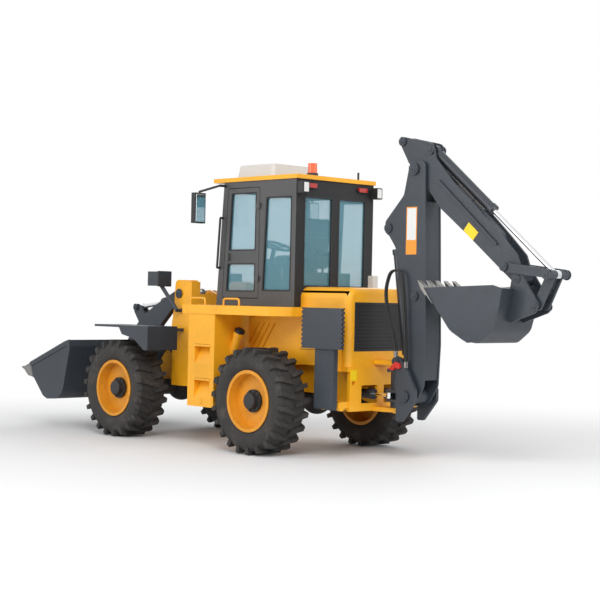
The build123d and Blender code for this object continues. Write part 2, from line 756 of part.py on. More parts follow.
# Front frame: keel with hinge ears, tower plates that hold the loader arms, and lift cylinder brackets
tower_rear = 1660
tower_front = 1950
tower_top = 1860
tower_bottom = 615
keel_top = 1000
keel_front = 2440
arm_half = arm_thickness / 2
eye_half = 30
with BuildPart() as front_frame:
    for y_low, y_high in mirrored(keel_half - 40, keel_half):
        keel = (
            (1420, 560, 30),
            (1420, keel_top, 30),
            (keel_front, keel_top, 0),
            (2720, rail_bottom + 40, 40),
            (2560, rail_bottom, 0),
            (1720, rail_bottom, 0),
            (1640, 560, 0),
        )
        plate(keel, y_low, y_high)
    block(1500, keel_front - 10, -keel_half, keel_half, keel_top - 30, keel_top)
    block(2230, 2390, -keel_half, keel_half, rail_bottom + 130, rail_bottom + 210)
    ear_rise = ear_thickness + running_gap
    for z_low in (hinge_ear_bottoms[0] + ear_rise, hinge_ear_bottoms[1] - ear_rise):
        ear = (
            (1460, -keel_half, 0),
            (hinge_x, -95, 90),
            (hinge_x - 95, 0, 60),
            (hinge_x, 95, 90),
            (1460, keel_half, 0),
        )
        level_plate(ear, z_low, z_low + ear_thickness)
        rod_between((hinge_x, 0, z_low), (hinge_x, 0, z_low + ear_thickness), 92)
        rod_between(
            (hinge_x, 0, z_low), (hinge_x, 0, z_low + ear_thickness),
            hinge_pin_radius + running_gap, Mode.SUBTRACT,
        )
    tower = (
        (tower_rear, tower_bottom, 0),
        (tower_rear, tower_top, 30),
        (tower_front - 20, tower_top, 60),
        (tower_front, 1540, 40),
        (tower_front + 60, 1220, 60),
        (tower_front + 20, 1030, 60),
        (tower_front + 20, tower_bottom, 0),
    )
    inner_face = tower_y - arm_half - running_gap
    outer_face = tower_y + arm_half + running_gap
    for y_low, y_high in mirrored(inner_face - tower_plate, inner_face):
        plate(tower, y_low, y_high)
    for y_low, y_high in mirrored(outer_face, outer_face + tower_plate):
        plate(tower, y_low, y_high)
    for y_low, y_high in mirrored(inner_face - tower_plate, outer_face + tower_plate):
        block(tower_rear - 30, tower_rear, y_low, y_high, tower_bottom, tower_top - 20)
    block(
        tower_rear - 30, tower_front + 20, -outer_face - tower_plate, outer_face + tower_plate,
        tower_bottom, tower_bottom + 35,
    )
    block(tower_rear - 30, tower_rear, -inner_face, inner_face, 1150, 1700)
    for y_low, y_high in mirrored(eye_half + running_gap, eye_half + running_gap + 24):
        bracket = (
            (tower_rear, 1560, 0),
            (tower_rear, 1700, 0),
            (arm_pivot_x - 30, arm_pivot_z + 48, 30),
            (arm_pivot_x + 46, arm_pivot_z + 40, 40),
            (arm_pivot_x + 46, arm_pivot_z - 46, 40),
        )
        plate(bracket, y_low, y_high)
    for y_low, y_high in mirrored(inner_face - tower_plate - 10, outer_face + tower_plate + 12):
        pin_y(arm_pivot_x, arm_pivot_z, arm_pin_radius, y_low, y_high)
    pin_y(arm_pivot_x, arm_pivot_z, 28, -eye_half - 34, eye_half + 34)
    for y_low, y_high in mirrored(keel_half, lift_y + eye_half + 12):
        pin_y(lift_base_x, lift_base_z, 30, y_low, y_high)
    for side in (1, -1):
        steer_ear = (
            (steer_eye_x - 40, side * (keel_half - 1), 0),
            (steer_eye_x - 40, side * (steer_eye_y - 8), 0),
            (steer_eye_x + 6, side * (steer_eye_y + 38), 0),
            (steer_eye_x + 95, side * (steer_eye_y + 38), 0),
            (steer_eye_x + 95, side * (keel_half - 1), 0),
        )
        for z_low in (steer_z - 24 - ear_gap - 20, steer_z + 24 + ear_gap):
            level_plate(steer_ear, z_low, z_low + 20)
front_frame.part.label = "front_frame"
export_step(front_frame.part, "parts/front_frame.step")

# Front fenders with deep rear skirts, and the head lamps on their posts
with BuildPart() as front_fenders:
    fender_inner = outer_face + tower_plate
    fender_outer = 1075
    for side in (1, -1):
        y_low, y_high = sorted((side * 640, side * fender_outer))
        top = ((1690, 1290, 0), (1690, 1315, 0), (2720, 1315, 0), (2720, 1290, 0))
        plate(top, y_low, y_high)
        skirt = (
            (1690, 1040, 0), (1690, 1292, 0), (2240, 1292, 0),
            (2180, 1210, 0), (1960, 1170, 0), (1760, 1040, 0),
        )
        skirt_y = sorted((side * (fender_outer - 25), side * fender_outer))
        plate(skirt, skirt_y[0], skirt_y[1])
        block(1690, 1715, y_low, y_high, 1040, 1292)
        brace_y = sorted((side * fender_inner, side * 660))
        block(1760, 1940, brace_y[0], brace_y[1], 1255, 1290)
        lamp_y = side * 560
        rod_between((1800, side * fender_inner, 1500), (1800, lamp_y, 1500), 22)
        rod_between((1800, lamp_y, 1500), (2120, lamp_y, 1800), 24)
        block(2040, 2250, lamp_y - 95, lamp_y + 95, 1785, 1955)
front_fenders.part.label = "front_fenders"
export_step(front_fenders.part, "parts/front_fenders.step")

# Loader arms: two plates with a cross tube, tilt linkage bracket and pins
with BuildPart() as loader_arm:
    arm_outline = (
        (arm_pivot_x - 80, arm_pivot_z + 10, 60),
        (arm_pivot_x, arm_pivot_z + 85, 60),
        (2318, 1570, 60),
        (2588, 1425, 60),
        (2800, 1225, 120),
        (bucket_pin_x + 60, bucket_pin_z + 30, 50),
        (bucket_pin_x + 10, bucket_pin_z - 60, 50),
        (bucket_pin_x - 70, bucket_pin_z - 20, 50),
        (2690, 1020, 150),
        (2420, 1160, 100),
        (2047, 1500, 60),
        (arm_pivot_x, arm_pivot_z - 85, 60),
    )
    for y_low, y_high in mirrored(tower_y - arm_half, tower_y + arm_half):
        plate(arm_outline, y_low, y_high)
        pin_y(arm_pivot_x, arm_pivot_z, arm_pin_radius + running_gap, y_low, y_high, Mode.SUBTRACT)
    pin_y(cross_tube_x, cross_tube_z, 75, -tower_y, tower_y)
    for y_low, y_high in mirrored(60, 90):
        crank_ear = (
            (cross_tube_x, cross_tube_z + 70, 0),
            (crank_pivot_x + 10, crank_pivot_z + 62, 50),
            (crank_pivot_x + 62, crank_pivot_z - 10, 50),
            (crank_pivot_x + 10, crank_pivot_z - 62, 50),
            (cross_tube_x, cross_tube_z - 70, 0),
        )
        plate(crank_ear, y_low, y_high)
    pin_y(crank_pivot_x, crank_pivot_z, 32, -100, 100)
    for y_low, y_high in ((lift_y + eye_half + eye_gap, tower_y), (-tower_y, -lift_y - eye_half - eye_gap)):
        pin_y(lift_eye_x, lift_eye_z, 34, y_low, y_high)
    for y_low, y_high in mirrored(tower_y - arm_half - 40, tower_y + arm_half + 40):
        pin_y(bucket_pin_x, bucket_pin_z, 32, y_low, y_high)
loader_arm.part.label = "loader_arm"
export_step(loader_arm.part, "parts/loader_arm.step")

# Bell crank: two plates round a hub, with the tilt rod's fork on top and the link's fork below
crank_gap = eye_half + running_gap + 3
crank_plate = 20
hub_end = crank_gap + crank_plate
with BuildPart() as bell_crank:
    crank_outline = (
        (crank_top_x - 55, crank_top_z + 40, 45),
        (crank_top_x + 50, crank_top_z + 45, 45),
        (crank_top_x + 45, crank_top_z - 55, 45),
        (crank_pivot_x + 95, crank_pivot_z - 20, 80),
        (crank_low_x + 50, crank_low_z - 45, 40),
        (crank_low_x - 50, crank_low_z - 45, 40),
        (crank_low_x - 45, crank_low_z + 45, 40),
        (crank_pivot_x - 95, crank_pivot_z + 40, 80),
    )
    for y_low, y_high in mirrored(crank_gap, hub_end):
        plate(crank_outline, y_low, y_high)
    pin_y(crank_pivot_x, crank_pivot_z, 62, -hub_end, hub_end)
    pin_y(crank_pivot_x, crank_pivot_z, 32 + running_gap, -hub_end, hub_end, Mode.SUBTRACT)
    for x, z in ((crank_top_x, crank_top_z), (crank_low_x, crank_low_z)):
        for y_low, y_high in mirrored(hub_end - 1, hub_end + 12):
            pin_y(x, z, 34, y_low, y_high)
bell_crank.part.label = "bell_crank"
export_step(bell_crank.part, "parts/bell_crank.step")

# Link from the bell crank's lower end to the bucket
with BuildPart() as tilt_link:
    for x, z in ((crank_low_x, crank_low_z), (link_pin_x, link_pin_z)):
        pin_y(x, z, 46, -eye_half, eye_half)
    start = toward((crank_low_x, crank_low_z), (link_pin_x, link_pin_z), 20)
    end = toward((link_pin_x, link_pin_z), (crank_low_x, crank_low_z), 20)
    bar_way = (end[0] - start[0], 0, end[1] - start[1])
    with BuildSketch(Plane(origin=(start[0], 0, start[1]), z_dir=bar_way)) as bar:
        Rectangle(56, 60)
    extrude(bar.sketch, amount=math.dist(start, end))
    pin_y(link_pin_x, link_pin_z, 28 + running_gap, -eye_half, eye_half, Mode.SUBTRACT)
tilt_link.part.label = "tilt_link"
export_step(tilt_link.part, "parts/tilt_link.step")

# Loader bucket: side plates, bent shell, lip band, wear plates and pin ears
with BuildPart() as loader_bucket:
    shell_outline = (
        (4272, 723, 0),
        (4154, 625, 0),
        (4023, 606, 60),
        (3809, 388, 120),
        (3719, 355, 60),
        (3496, 370, 140),
        (3385, 470, 160),
        (3245, 1024, 0),
        (3259, 1105, 0),
        (3330, 1085, 0),
    )
    hollow_outline = (
        (4290, 745, 0),
        (4150, 652, 0),
        (4012, 632, 60),
        (3798, 414, 100),
        (3719, 384, 40),
        (3508, 398, 110),
        (3412, 480, 130),
        (3275, 1024, 0),
        (3285, 1160, 0),
        (4400, 1000, 0),
    )
    plate(shell_outline, -bucket_half_width, bucket_half_width)
    plate(hollow_outline, -bucket_half_width + bucket_wall, bucket_half_width - bucket_wall, Mode.SUBTRACT)
    lip = ((3236, 1010, 0), (3252, 1110, 0), (3345, 1086, 0), (4110, 792, 0), (4085, 740, 0), (3320, 1030, 0))
    for y_low, y_high in mirrored(bucket_half_width, bucket_half_width + 10):
        plate(lip, y_low, y_high)
    blade = ((4110, 640, 0), (4292, 716, 0), (4296, 722, 0), (4288, 735, 0), (4100, 664, 0))
    plate(blade, -bucket_half_width, bucket_half_width)
    for y_centre in (-tower_y, tower_y):
        for y_low, y_high in ((-arm_half - 34, -arm_half - 8), (arm_half + 8, arm_half + 34)):
            ear = (
                (bucket_pin_x - 55, bucket_pin_z - 10, 50),
                (bucket_pin_x - 40, bucket_pin_z + 90, 50),
                (3350, 700, 0),
                (3420, 520, 0),
                (3440, 440, 0),
                (bucket_pin_x, bucket_pin_z - 75, 50),
            )
            plate(ear, y_centre + y_low, y_centre + y_high)
            pin_y(
                bucket_pin_x, bucket_pin_z, 32 + running_gap,
                y_centre + y_low, y_centre + y_high, Mode.SUBTRACT,
            )
    for y_low, y_high in mirrored(eye_half + 4, eye_half + 28):
        ear = (
            (link_pin_x - 45, link_pin_z - 40, 40),
            (link_pin_x - 45, link_pin_z + 50, 40),
            (3315, 860, 0),
            (3370, 640, 0),
            (link_pin_x + 40, link_pin_z - 60, 40),
        )
        plate(ear, y_low, y_high)
    pin_y(link_pin_x, link_pin_z, 28, -eye_half - 40, eye_half + 40)
loader_bucket.part.label = "loader_bucket"
export_step(loader_bucket.part, "parts/loader_bucket.step")


def barrel(base, eye, across, radius, length, bore, pin_radius, half_width):
    """Cylinder barrel from its pinned base towards the rod's eye."""
    base_point = Vector(*base)
    way = (Vector(*eye) - base_point).normalized()
    side_way = Vector(*across)
    eye_radius = pin_radius + 22
    neck_end = eye_radius + 20
    rod_between(base_point + way * (eye_radius - 8), base_point + way * (neck_end + 2), half_width - 4)
    rod_between(base_point + way * neck_end, base_point + way * length, radius)
    rod_between(base_point + way * (length - 50), base_point + way * length, radius + 9)
    rod_between(base_point - side_way * half_width, base_point + side_way * half_width, eye_radius)
    rod_between(base_point + way * (neck_end + 12), base_point + way * (length + 1), bore, Mode.SUBTRACT)
    rod_between(
        base_point - side_way * half_width, base_point + side_way * half_width,
        pin_radius + running_gap, Mode.SUBTRACT,
    )


def piston_rod(base, eye, across, radius, inside, eye_radius, half_width):
    """Piston rod from inside the barrel to its far eye."""
    base_point = Vector(*base)
    eye_point = Vector(*eye)
    way = (eye_point - base_point).normalized()
    side_way = Vector(*across)
    rod_between(base_point + way * inside, eye_point - way * (eye_radius - 8), radius)
    rod_between(eye_point - side_way * half_width, eye_point + side_way * half_width, eye_radius)
    rod_between(
        eye_point - side_way * half_width, eye_point + side_way * half_width, eye_radius * 0.5, Mode.SUBTRACT
    )


along_y = (0, 1, 0)
along_z = (0, 0, 1)
along_x = (1, 0, 0)

# Lift cylinders, one each side of the keel
with BuildPart() as lift_barrels:
    for y in (lift_y, -lift_y):
        base, eye = (lift_base_x, y, lift_base_z), (lift_eye_x, y, lift_eye_z)
        barrel(base, eye, along_y, 52, 950, 28 + running_gap, 30, eye_half)
lift_barrels.part.label = "lift_barrels"
export_step(lift_barrels.part, "parts/lift_barrels.step")
with BuildPart() as lift_rods:
    for y in (lift_y, -lift_y):
        base, eye = (lift_base_x, y, lift_base_z), (lift_eye_x, y, lift_eye_z)
        piston_rod(base, eye, along_y, 28, 185, 48, eye_half)
lift_rods.part.label = "lift_rods"
export_step(lift_rods.part, "parts/lift_rods.step")

# Cylinders in the middle plane
# Columns: name, base, eye, barrel radius, barrel length, rod radius, rod's inner end, pin radius
middle_cylinders = (
    ("tilt", (arm_pivot_x, 0, arm_pivot_z), (crank_top_x, 0, crank_top_z), 55, 905, 28, 540, 28),
    (
        "boom", (boom_cylinder_base_x, 0, boom_cylinder_base_z),
        (boom_cylinder_eye_x, 0, boom_cylinder_eye_z), 55, 1180, 28, 420, 28,
    ),
    (
        "stick", (stick_cylinder_base_x, 0, stick_cylinder_base_z),
        (stick_cylinder_eye_x, 0, stick_cylinder_eye_z), 52, 960, 28, 640, 28,
    ),
    (
        "bucket", (bucket_cylinder_base_x, 0, bucket_cylinder_base_z),
        (rod_pin_x, 0, rod_pin_z), 48, 1000, 26, 960, 28,
    ),
)
for cylinder_name, base, eye, barrel_radius, length, rod_radius, inside, pin_radius in middle_cylinders:
    with BuildPart() as cylinder_barrel:
        barrel(base, eye, along_y, barrel_radius, length, rod_radius + running_gap, pin_radius, eye_half)
    cylinder_barrel.part.label = cylinder_name + "_barrel"
    export_step(cylinder_barrel.part, "parts/" + cylinder_barrel.part.label + ".step")
    with BuildPart() as cylinder_rod:
        piston_rod(base, eye, along_y, rod_radius, inside, 42, eye_half)
    cylinder_rod.part.label = cylinder_name + "_rod"
    export_step(cylinder_rod.part, "parts/" + cylinder_rod.part.label + ".step")

# Steering cylinders between the two frames, and swing cylinders inside the rear frame
steer_half = 24
for side_name, side in (("left", 1), ("right", -1)):
    base, eye = (steer_base_x, side * steer_base_y, steer_z), (steer_eye_x, side * steer_eye_y, steer_z)
    with BuildPart() as steer_barrel:
        barrel(base, eye, along_z, 36, 440, 20 + running_gap, 20, steer_half)
    steer_barrel.part.label = side_name + "_steer_barrel"
    export_step(steer_barrel.part, "parts/" + steer_barrel.part.label + ".step")
    with BuildPart() as steer_rod:
        piston_rod(base, eye, along_z, 20, 255, 36, steer_half)
    steer_rod.part.label = side_name + "_steer_rod"
    export_step(steer_rod.part, "parts/" + steer_rod.part.label + ".step")
    with BuildPart() as swing_rod:
        base = (swing_cylinder_base_x, side * swing_cylinder_y, swing_cylinder_z)
        eye = (swing_x, side * swing_cylinder_y, swing_cylinder_z)
        piston_rod(base, eye, along_z, 22, 205, 36, eye_half)
    swing_rod.part.label = side_name + "_swing_rod"
    export_step(swing_rod.part, "parts/" + swing_rod.part.label + ".step")
with BuildPart() as swing_barrels:
    for side in (1, -1):
        base = (swing_cylinder_base_x, side * swing_cylinder_y, swing_cylinder_z)
        eye = (swing_x, side * swing_cylinder_y, swing_cylinder_z)
        barrel(base, eye, along_z, 48, 340, 22 + running_gap, 24, eye_half)
swing_barrels.part.label = "swing_barrels"
export_step(swing_barrels.part, "parts/swing_barrels.step")

# Swing post: boss on the swing axis, side plates for the boom's foot, arms for the swing rods, lock hook
post_inner = 150
post_plate = 35
boss_low = swing_ear_bottom + ear_thickness + ear_gap
boss_high = swing_ear_top - ear_thickness - ear_gap
post_front = swing_x - 150
with BuildPart() as swing_post:
    post_outline = (
        (post_front, 900, 0),
        (boom_cylinder_base_x + 52, boom_cylinder_base_z + 10, 20),
        (boom_cylinder_base_x + 5, boom_cylinder_base_z + 62, 30),
        (boom_cylinder_base_x - 60, boom_cylinder_base_z + 40, 30),
        (-1514, 940, 60),
        (-1610, 760, 60),
        (-1610, 640, 50),
        (-1430, 425, 20),
        (post_front, 425, 20),
    )
    for y_low, y_high in mirrored(post_inner, post_inner + post_plate):
        plate(post_outline, y_low, y_high)
    rod_between((swing_x, 0, boss_low), (swing_x, 0, boss_high), 72)
    block(post_front, swing_x - 40, -55, 55, boss_low + 20, boss_high - 20)
    for z_low, z_high in ((boss_low + 20, swing_cylinder_z - 50), (swing_cylinder_z + 50, boss_high - 20)):
        block(post_front, post_front + 14, -post_inner - post_plate, post_inner + post_plate, z_low, z_high)
    for z_low in (swing_cylinder_z - eye_half - ear_gap - 24, swing_cylinder_z + eye_half + ear_gap):
        arm = (
            (post_front, -post_inner - post_plate, 0),
            (swing_x + 30, -swing_cylinder_y - 42, 30),
            (swing_x + 42, 0, 0),
            (swing_x + 30, swing_cylinder_y + 42, 30),
            (post_front, post_inner + post_plate, 0),
        )
        level_plate(arm, z_low, z_low + 24)
    rod_between(
        (swing_x, 0, boss_low), (swing_x, 0, boss_high), swing_pin_radius + running_gap, Mode.SUBTRACT
    )
    pin_y(boom_pivot_x, boom_pivot_z, 42, -post_inner - post_plate - 14, post_inner + post_plate + 14)
    pin_end = post_inner + post_plate + 10
    pin_y(boom_cylinder_base_x, boom_cylinder_base_z, 28, -pin_end, pin_end)
    hook_y = post_inner + post_plate
    hook = (
        (-1420, 985, 8),
        (-1400, 1030, 12),
        (-1335, 1040, 12),
        (-1302, 988, 6),
        (-1240, 962, 8),
        (-1246, 925, 8),
        (-1320, 950, 8),
        (-1352, 985, 6),
        (-1385, 965, 8),
    )
    plate(hook, hook_y, hook_y + 26)
swing_post.part.label = "swing_post"
export_step(swing_post.part, "parts/swing_post.step")

# Boom: two side plates joined by a rear web, open in front for the cylinders
boom_plate = 20
boom_inner = boom_half_width - boom_plate
boom_outline = (
    (-1415, 3110, 60),
    (-1627, 3110, 60),
    (-1656, 2190, 300),
    (-1684, 1226, 300),
    (-1664, 800, 60),
    (-1560, 625, 50),
    (-1470, 578, 50),
    (-1388, 615, 50),
    (-1364, 700, 50),
    (-1376, 860, 100),
    (-1400, 1500, 300),
    (-1261, 2197, 300),
    (-1150, 2344, 60),
    (boom_cylinder_eye_x + 55, boom_cylinder_eye_z - 40, 50),
    (boom_cylinder_eye_x + 50, boom_cylinder_eye_z + 70, 50),
    (-1342, 2765, 120),
    (-1395, 3000, 60),
)
with BuildPart() as boom:
    for y_low, y_high in mirrored(boom_inner, boom_half_width):
        plate(boom_outline, y_low, y_high)
    rear_web = (
        (-1650, 2190, 0), (-1679, 1226, 0), (-1658, 860, 0),
        (-1638, 860, 0), (-1658, 1226, 0), (-1630, 2190, 0),
    )
    plate(rear_web, -boom_inner, boom_inner)
    upper_web = ((-1634, 2690, 0), (-1650, 2190, 0), (-1630, 2190, 0), (-1614, 2690, 0))
    plate(upper_web, -boom_inner, boom_inner)
    pin_y(boom_pivot_x, boom_pivot_z, 78, -post_inner + ear_gap, post_inner - ear_gap)
    pin_y(boom_pivot_x, boom_pivot_z, 42 + running_gap, -post_inner, post_inner, Mode.SUBTRACT)
    pin_y(stick_pivot_x, stick_pivot_z, 38, -boom_half_width - 16, boom_half_width + 16)
    pin_y(stick_cylinder_base_x, stick_cylinder_base_z, 28, -boom_half_width - 12, boom_half_width + 12)
    for y_low, y_high in mirrored(eye_half + ear_gap, boom_half_width + 12):
        pin_y(boom_cylinder_eye_x, boom_cylinder_eye_z, 30, y_low, y_high)
boom.part.label = "boom"
export_step(boom.part, "parts/boom.step")

# Stick: closed box beam between its cheek plates, pivots at both ends, service tube along the side
stick_cheek = 22
fork_inner = stick_half_width - stick_cheek
stick_outline = (
    (stick_cylinder_eye_x + 48, stick_cylinder_eye_z - 10, 40),
    (stick_cylinder_eye_x + 10, stick_cylinder_eye_z + 52, 40),
    (bucket_cylinder_base_x - 20, bucket_cylinder_base_z + 70, 70),
    (-1740, 3130, 80),
    (-1995, 2862, 200),
    (-2259, 2642, 200),
    (-2583, 2344, 200),
    (hoe_bucket_pin_x + 20, 2140, 80),
    (hoe_bucket_pin_x - 65, hoe_bucket_pin_z + 10, 60),
    (hoe_bucket_pin_x + 20, hoe_bucket_pin_z - 62, 60),
    (-2560, 2030, 150),
    (-2159, 2352, 200),
    (-1810, 2619, 200),
    (-1560, 2920, 80),
    (stick_pivot_x + 60, stick_pivot_z - 20, 60),
)
with BuildPart() as stick:
    for y_low, y_high in mirrored(fork_inner, stick_half_width):
        plate(stick_outline, y_low, y_high)
    core = (
        (-1560, 3010, 0),
        (-1680, 3040, 0),
        (-1985, 2840, 0),
        (-2255, 2620, 0),
        (-2540, 2365, 0),
        (-2600, 2220, 0),
        (-2500, 2110, 0),
        (-2165, 2375, 0),
        (-1825, 2640, 0),
        (-1580, 2925, 0),
    )
    plate(core, -fork_inner, fork_inner)
    pin_y(stick_pivot_x, stick_pivot_z, 68, -boom_inner + ear_gap, boom_inner - ear_gap)
    pin_y(stick_pivot_x, stick_pivot_z, 38 + running_gap, -boom_inner, boom_inner, Mode.SUBTRACT)
    pin_y(bucket_cylinder_base_x, bucket_cylinder_base_z, 28, -stick_half_width - 10, stick_half_width + 10)
    for y_low, y_high in mirrored(eye_half + ear_gap, stick_half_width + 10):
        pin_y(stick_cylinder_eye_x, stick_cylinder_eye_z, 30, y_low, y_high)
    pin_y(lever_pin_x, lever_pin_z, 30, -150, 150)
    pin_y(hoe_bucket_pin_x, hoe_bucket_pin_z, 60, -stick_half_width, stick_half_width)
    pin_y(
        hoe_bucket_pin_x, hoe_bucket_pin_z, 30 + running_gap,
        -stick_half_width, stick_half_width, Mode.SUBTRACT,
    )
    for y_low, y_high in mirrored(stick_half_width, stick_half_width + 22):
        tube = ((-1800, 2905, 0), (-2560, 2250, 0), (-2545, 2235, 0), (-1785, 2888, 0))
        plate(tube, y_low, y_high)
stick.part.label = "stick"
export_step(stick.part, "parts/stick.step")

# Dump lever: a bar on each side of the stick, with a boss on each side of the rod's eye
lever_inner = stick_half_width + 28
lever_plate = 26
with BuildPart() as dump_lever:
    lever_bar = (
        (lever_pin_x + 40, lever_pin_z + 45, 40),
        (lever_pin_x + 45, lever_pin_z - 45, 40),
        (rod_pin_x - 45, rod_pin_z - 42, 40),
        (rod_pin_x - 40, rod_pin_z + 48, 40),
    )
    for y_low, y_high in mirrored(lever_inner, lever_inner + lever_plate):
        plate(lever_bar, y_low, y_high)
        pin_y(lever_pin_x, lever_pin_z, 30 + running_gap, y_low, y_high, Mode.SUBTRACT)
    for y_low, y_high in mirrored(eye_half + ear_gap, lever_inner + lever_plate + 24):
        pin_y(rod_pin_x, rod_pin_z, 42, y_low, y_high)
dump_lever.part.label = "dump_lever"
export_step(dump_lever.part, "parts/dump_lever.step")

# Link from the lever's cross tube down to the bucket
link_bar_y = eye_half + ear_gap + 4
with BuildPart() as bucket_link:
    link_bar = (
        (rod_pin_x - 52, rod_pin_z + 20, 40),
        (rod_pin_x + 40, rod_pin_z + 50, 40),
        (link_eye_x + 48, link_eye_z + 20, 40),
        (link_eye_x + 20, link_eye_z - 48, 40),
        (link_eye_x - 48, link_eye_z - 20, 40),
    )
    for y_low, y_high in mirrored(link_bar_y + 6, link_bar_y + 32):
        plate(link_bar, y_low, y_high)
        pin_y(rod_pin_x, rod_pin_z, 42 + running_gap, y_low, y_high, Mode.SUBTRACT)
    cross = ((-3110, 1760, 0), (-3130, 1800, 0), (-3095, 1815, 0), (-3075, 1775, 0))
    plate(cross, -link_bar_y - 6, link_bar_y + 6)
bucket_link.part.label = "bucket_link"
export_step(bucket_link.part, "parts/bucket_link.step")

# Hoe bucket: bent shell between side plates, teeth on the lip, pin ears on its back
tooth_count = 5
with BuildPart() as hoe_bucket:
    shell = (
        (-1800, 1808, 0),
        (-1907, 1674, 80),
        (-2148, 1388, 200),
        (-2338, 1288, 120),
        (-2523, 1270, 120),
        (-2690, 1400, 150),
        (-2760, 1648, 100),
        (-2785, 1812, 0),
        (-2670, 1842, 0),
    )
    hollow = (
        (-1780, 1830, 0),
        (-1895, 1692, 80),
        (-2140, 1412, 190),
        (-2338, 1312, 110),
        (-2515, 1296, 110),
        (-2668, 1412, 140),
        (-2736, 1652, 90),
        (-2752, 1900, 0),
        (-1780, 1900, 0),
    )
    plate(shell, -hoe_bucket_half_width, hoe_bucket_half_width)
    plate(hollow, -hoe_bucket_half_width + 16, hoe_bucket_half_width - 16, Mode.SUBTRACT)
    edge = ((-1800, 1812, 0), (-1935, 1660, 0), (-1917, 1645, 0), (-1782, 1797, 0))
    plate(edge, -hoe_bucket_half_width - 6, hoe_bucket_half_width + 6)
    tooth_width = 62
    tooth_pitch = (2 * hoe_bucket_half_width - tooth_width) / (tooth_count - 1)
    for tooth in range(tooth_count):
        y_low = -hoe_bucket_half_width + tooth * tooth_pitch
        spike = ((-1712, 1885, 0), (-1790, 1832, 0), (-1850, 1762, 0), (-1818, 1730, 0), (-1752, 1805, 0))
        plate(spike, y_low, y_low + tooth_width)
    for y_low, y_high in mirrored(stick_half_width + ear_gap, stick_half_width + ear_gap + 20):
        bucket_ear = (
            (-2735, 1800, 0),
            (hoe_bucket_pin_x + 50, hoe_bucket_pin_z + 50, 50),
            (hoe_bucket_pin_x - 60, hoe_bucket_pin_z + 40, 60),
            (link_eye_x - 50, link_eye_z + 30, 50),
            (link_eye_x - 20, link_eye_z - 55, 50),
            (-2745, 1480, 0),
            (-2715, 1500, 0),
        )
        plate(bucket_ear, y_low, y_high)
    pin_y(hoe_bucket_pin_x, hoe_bucket_pin_z, 30, -stick_half_width - 26, stick_half_width + 26)
    for y_low, y_high in mirrored(link_bar_y + 38, stick_half_width + 30):
        pin_y(link_eye_x, link_eye_z, 30, y_low, y_high)
    wear_back = ((-2148, 1388, 0), (-2338, 1288, 0), (-2345, 1274, 0), (-2146, 1376, 0))
    for strip in range(5):
        y_low = -hoe_bucket_half_width + 30 + 120 * strip
        plate(wear_back, y_low, y_low + 60)
hoe_bucket.part.label = "hoe_bucket"
export_step(hoe_bucket.part, "parts/hoe_bucket.step")

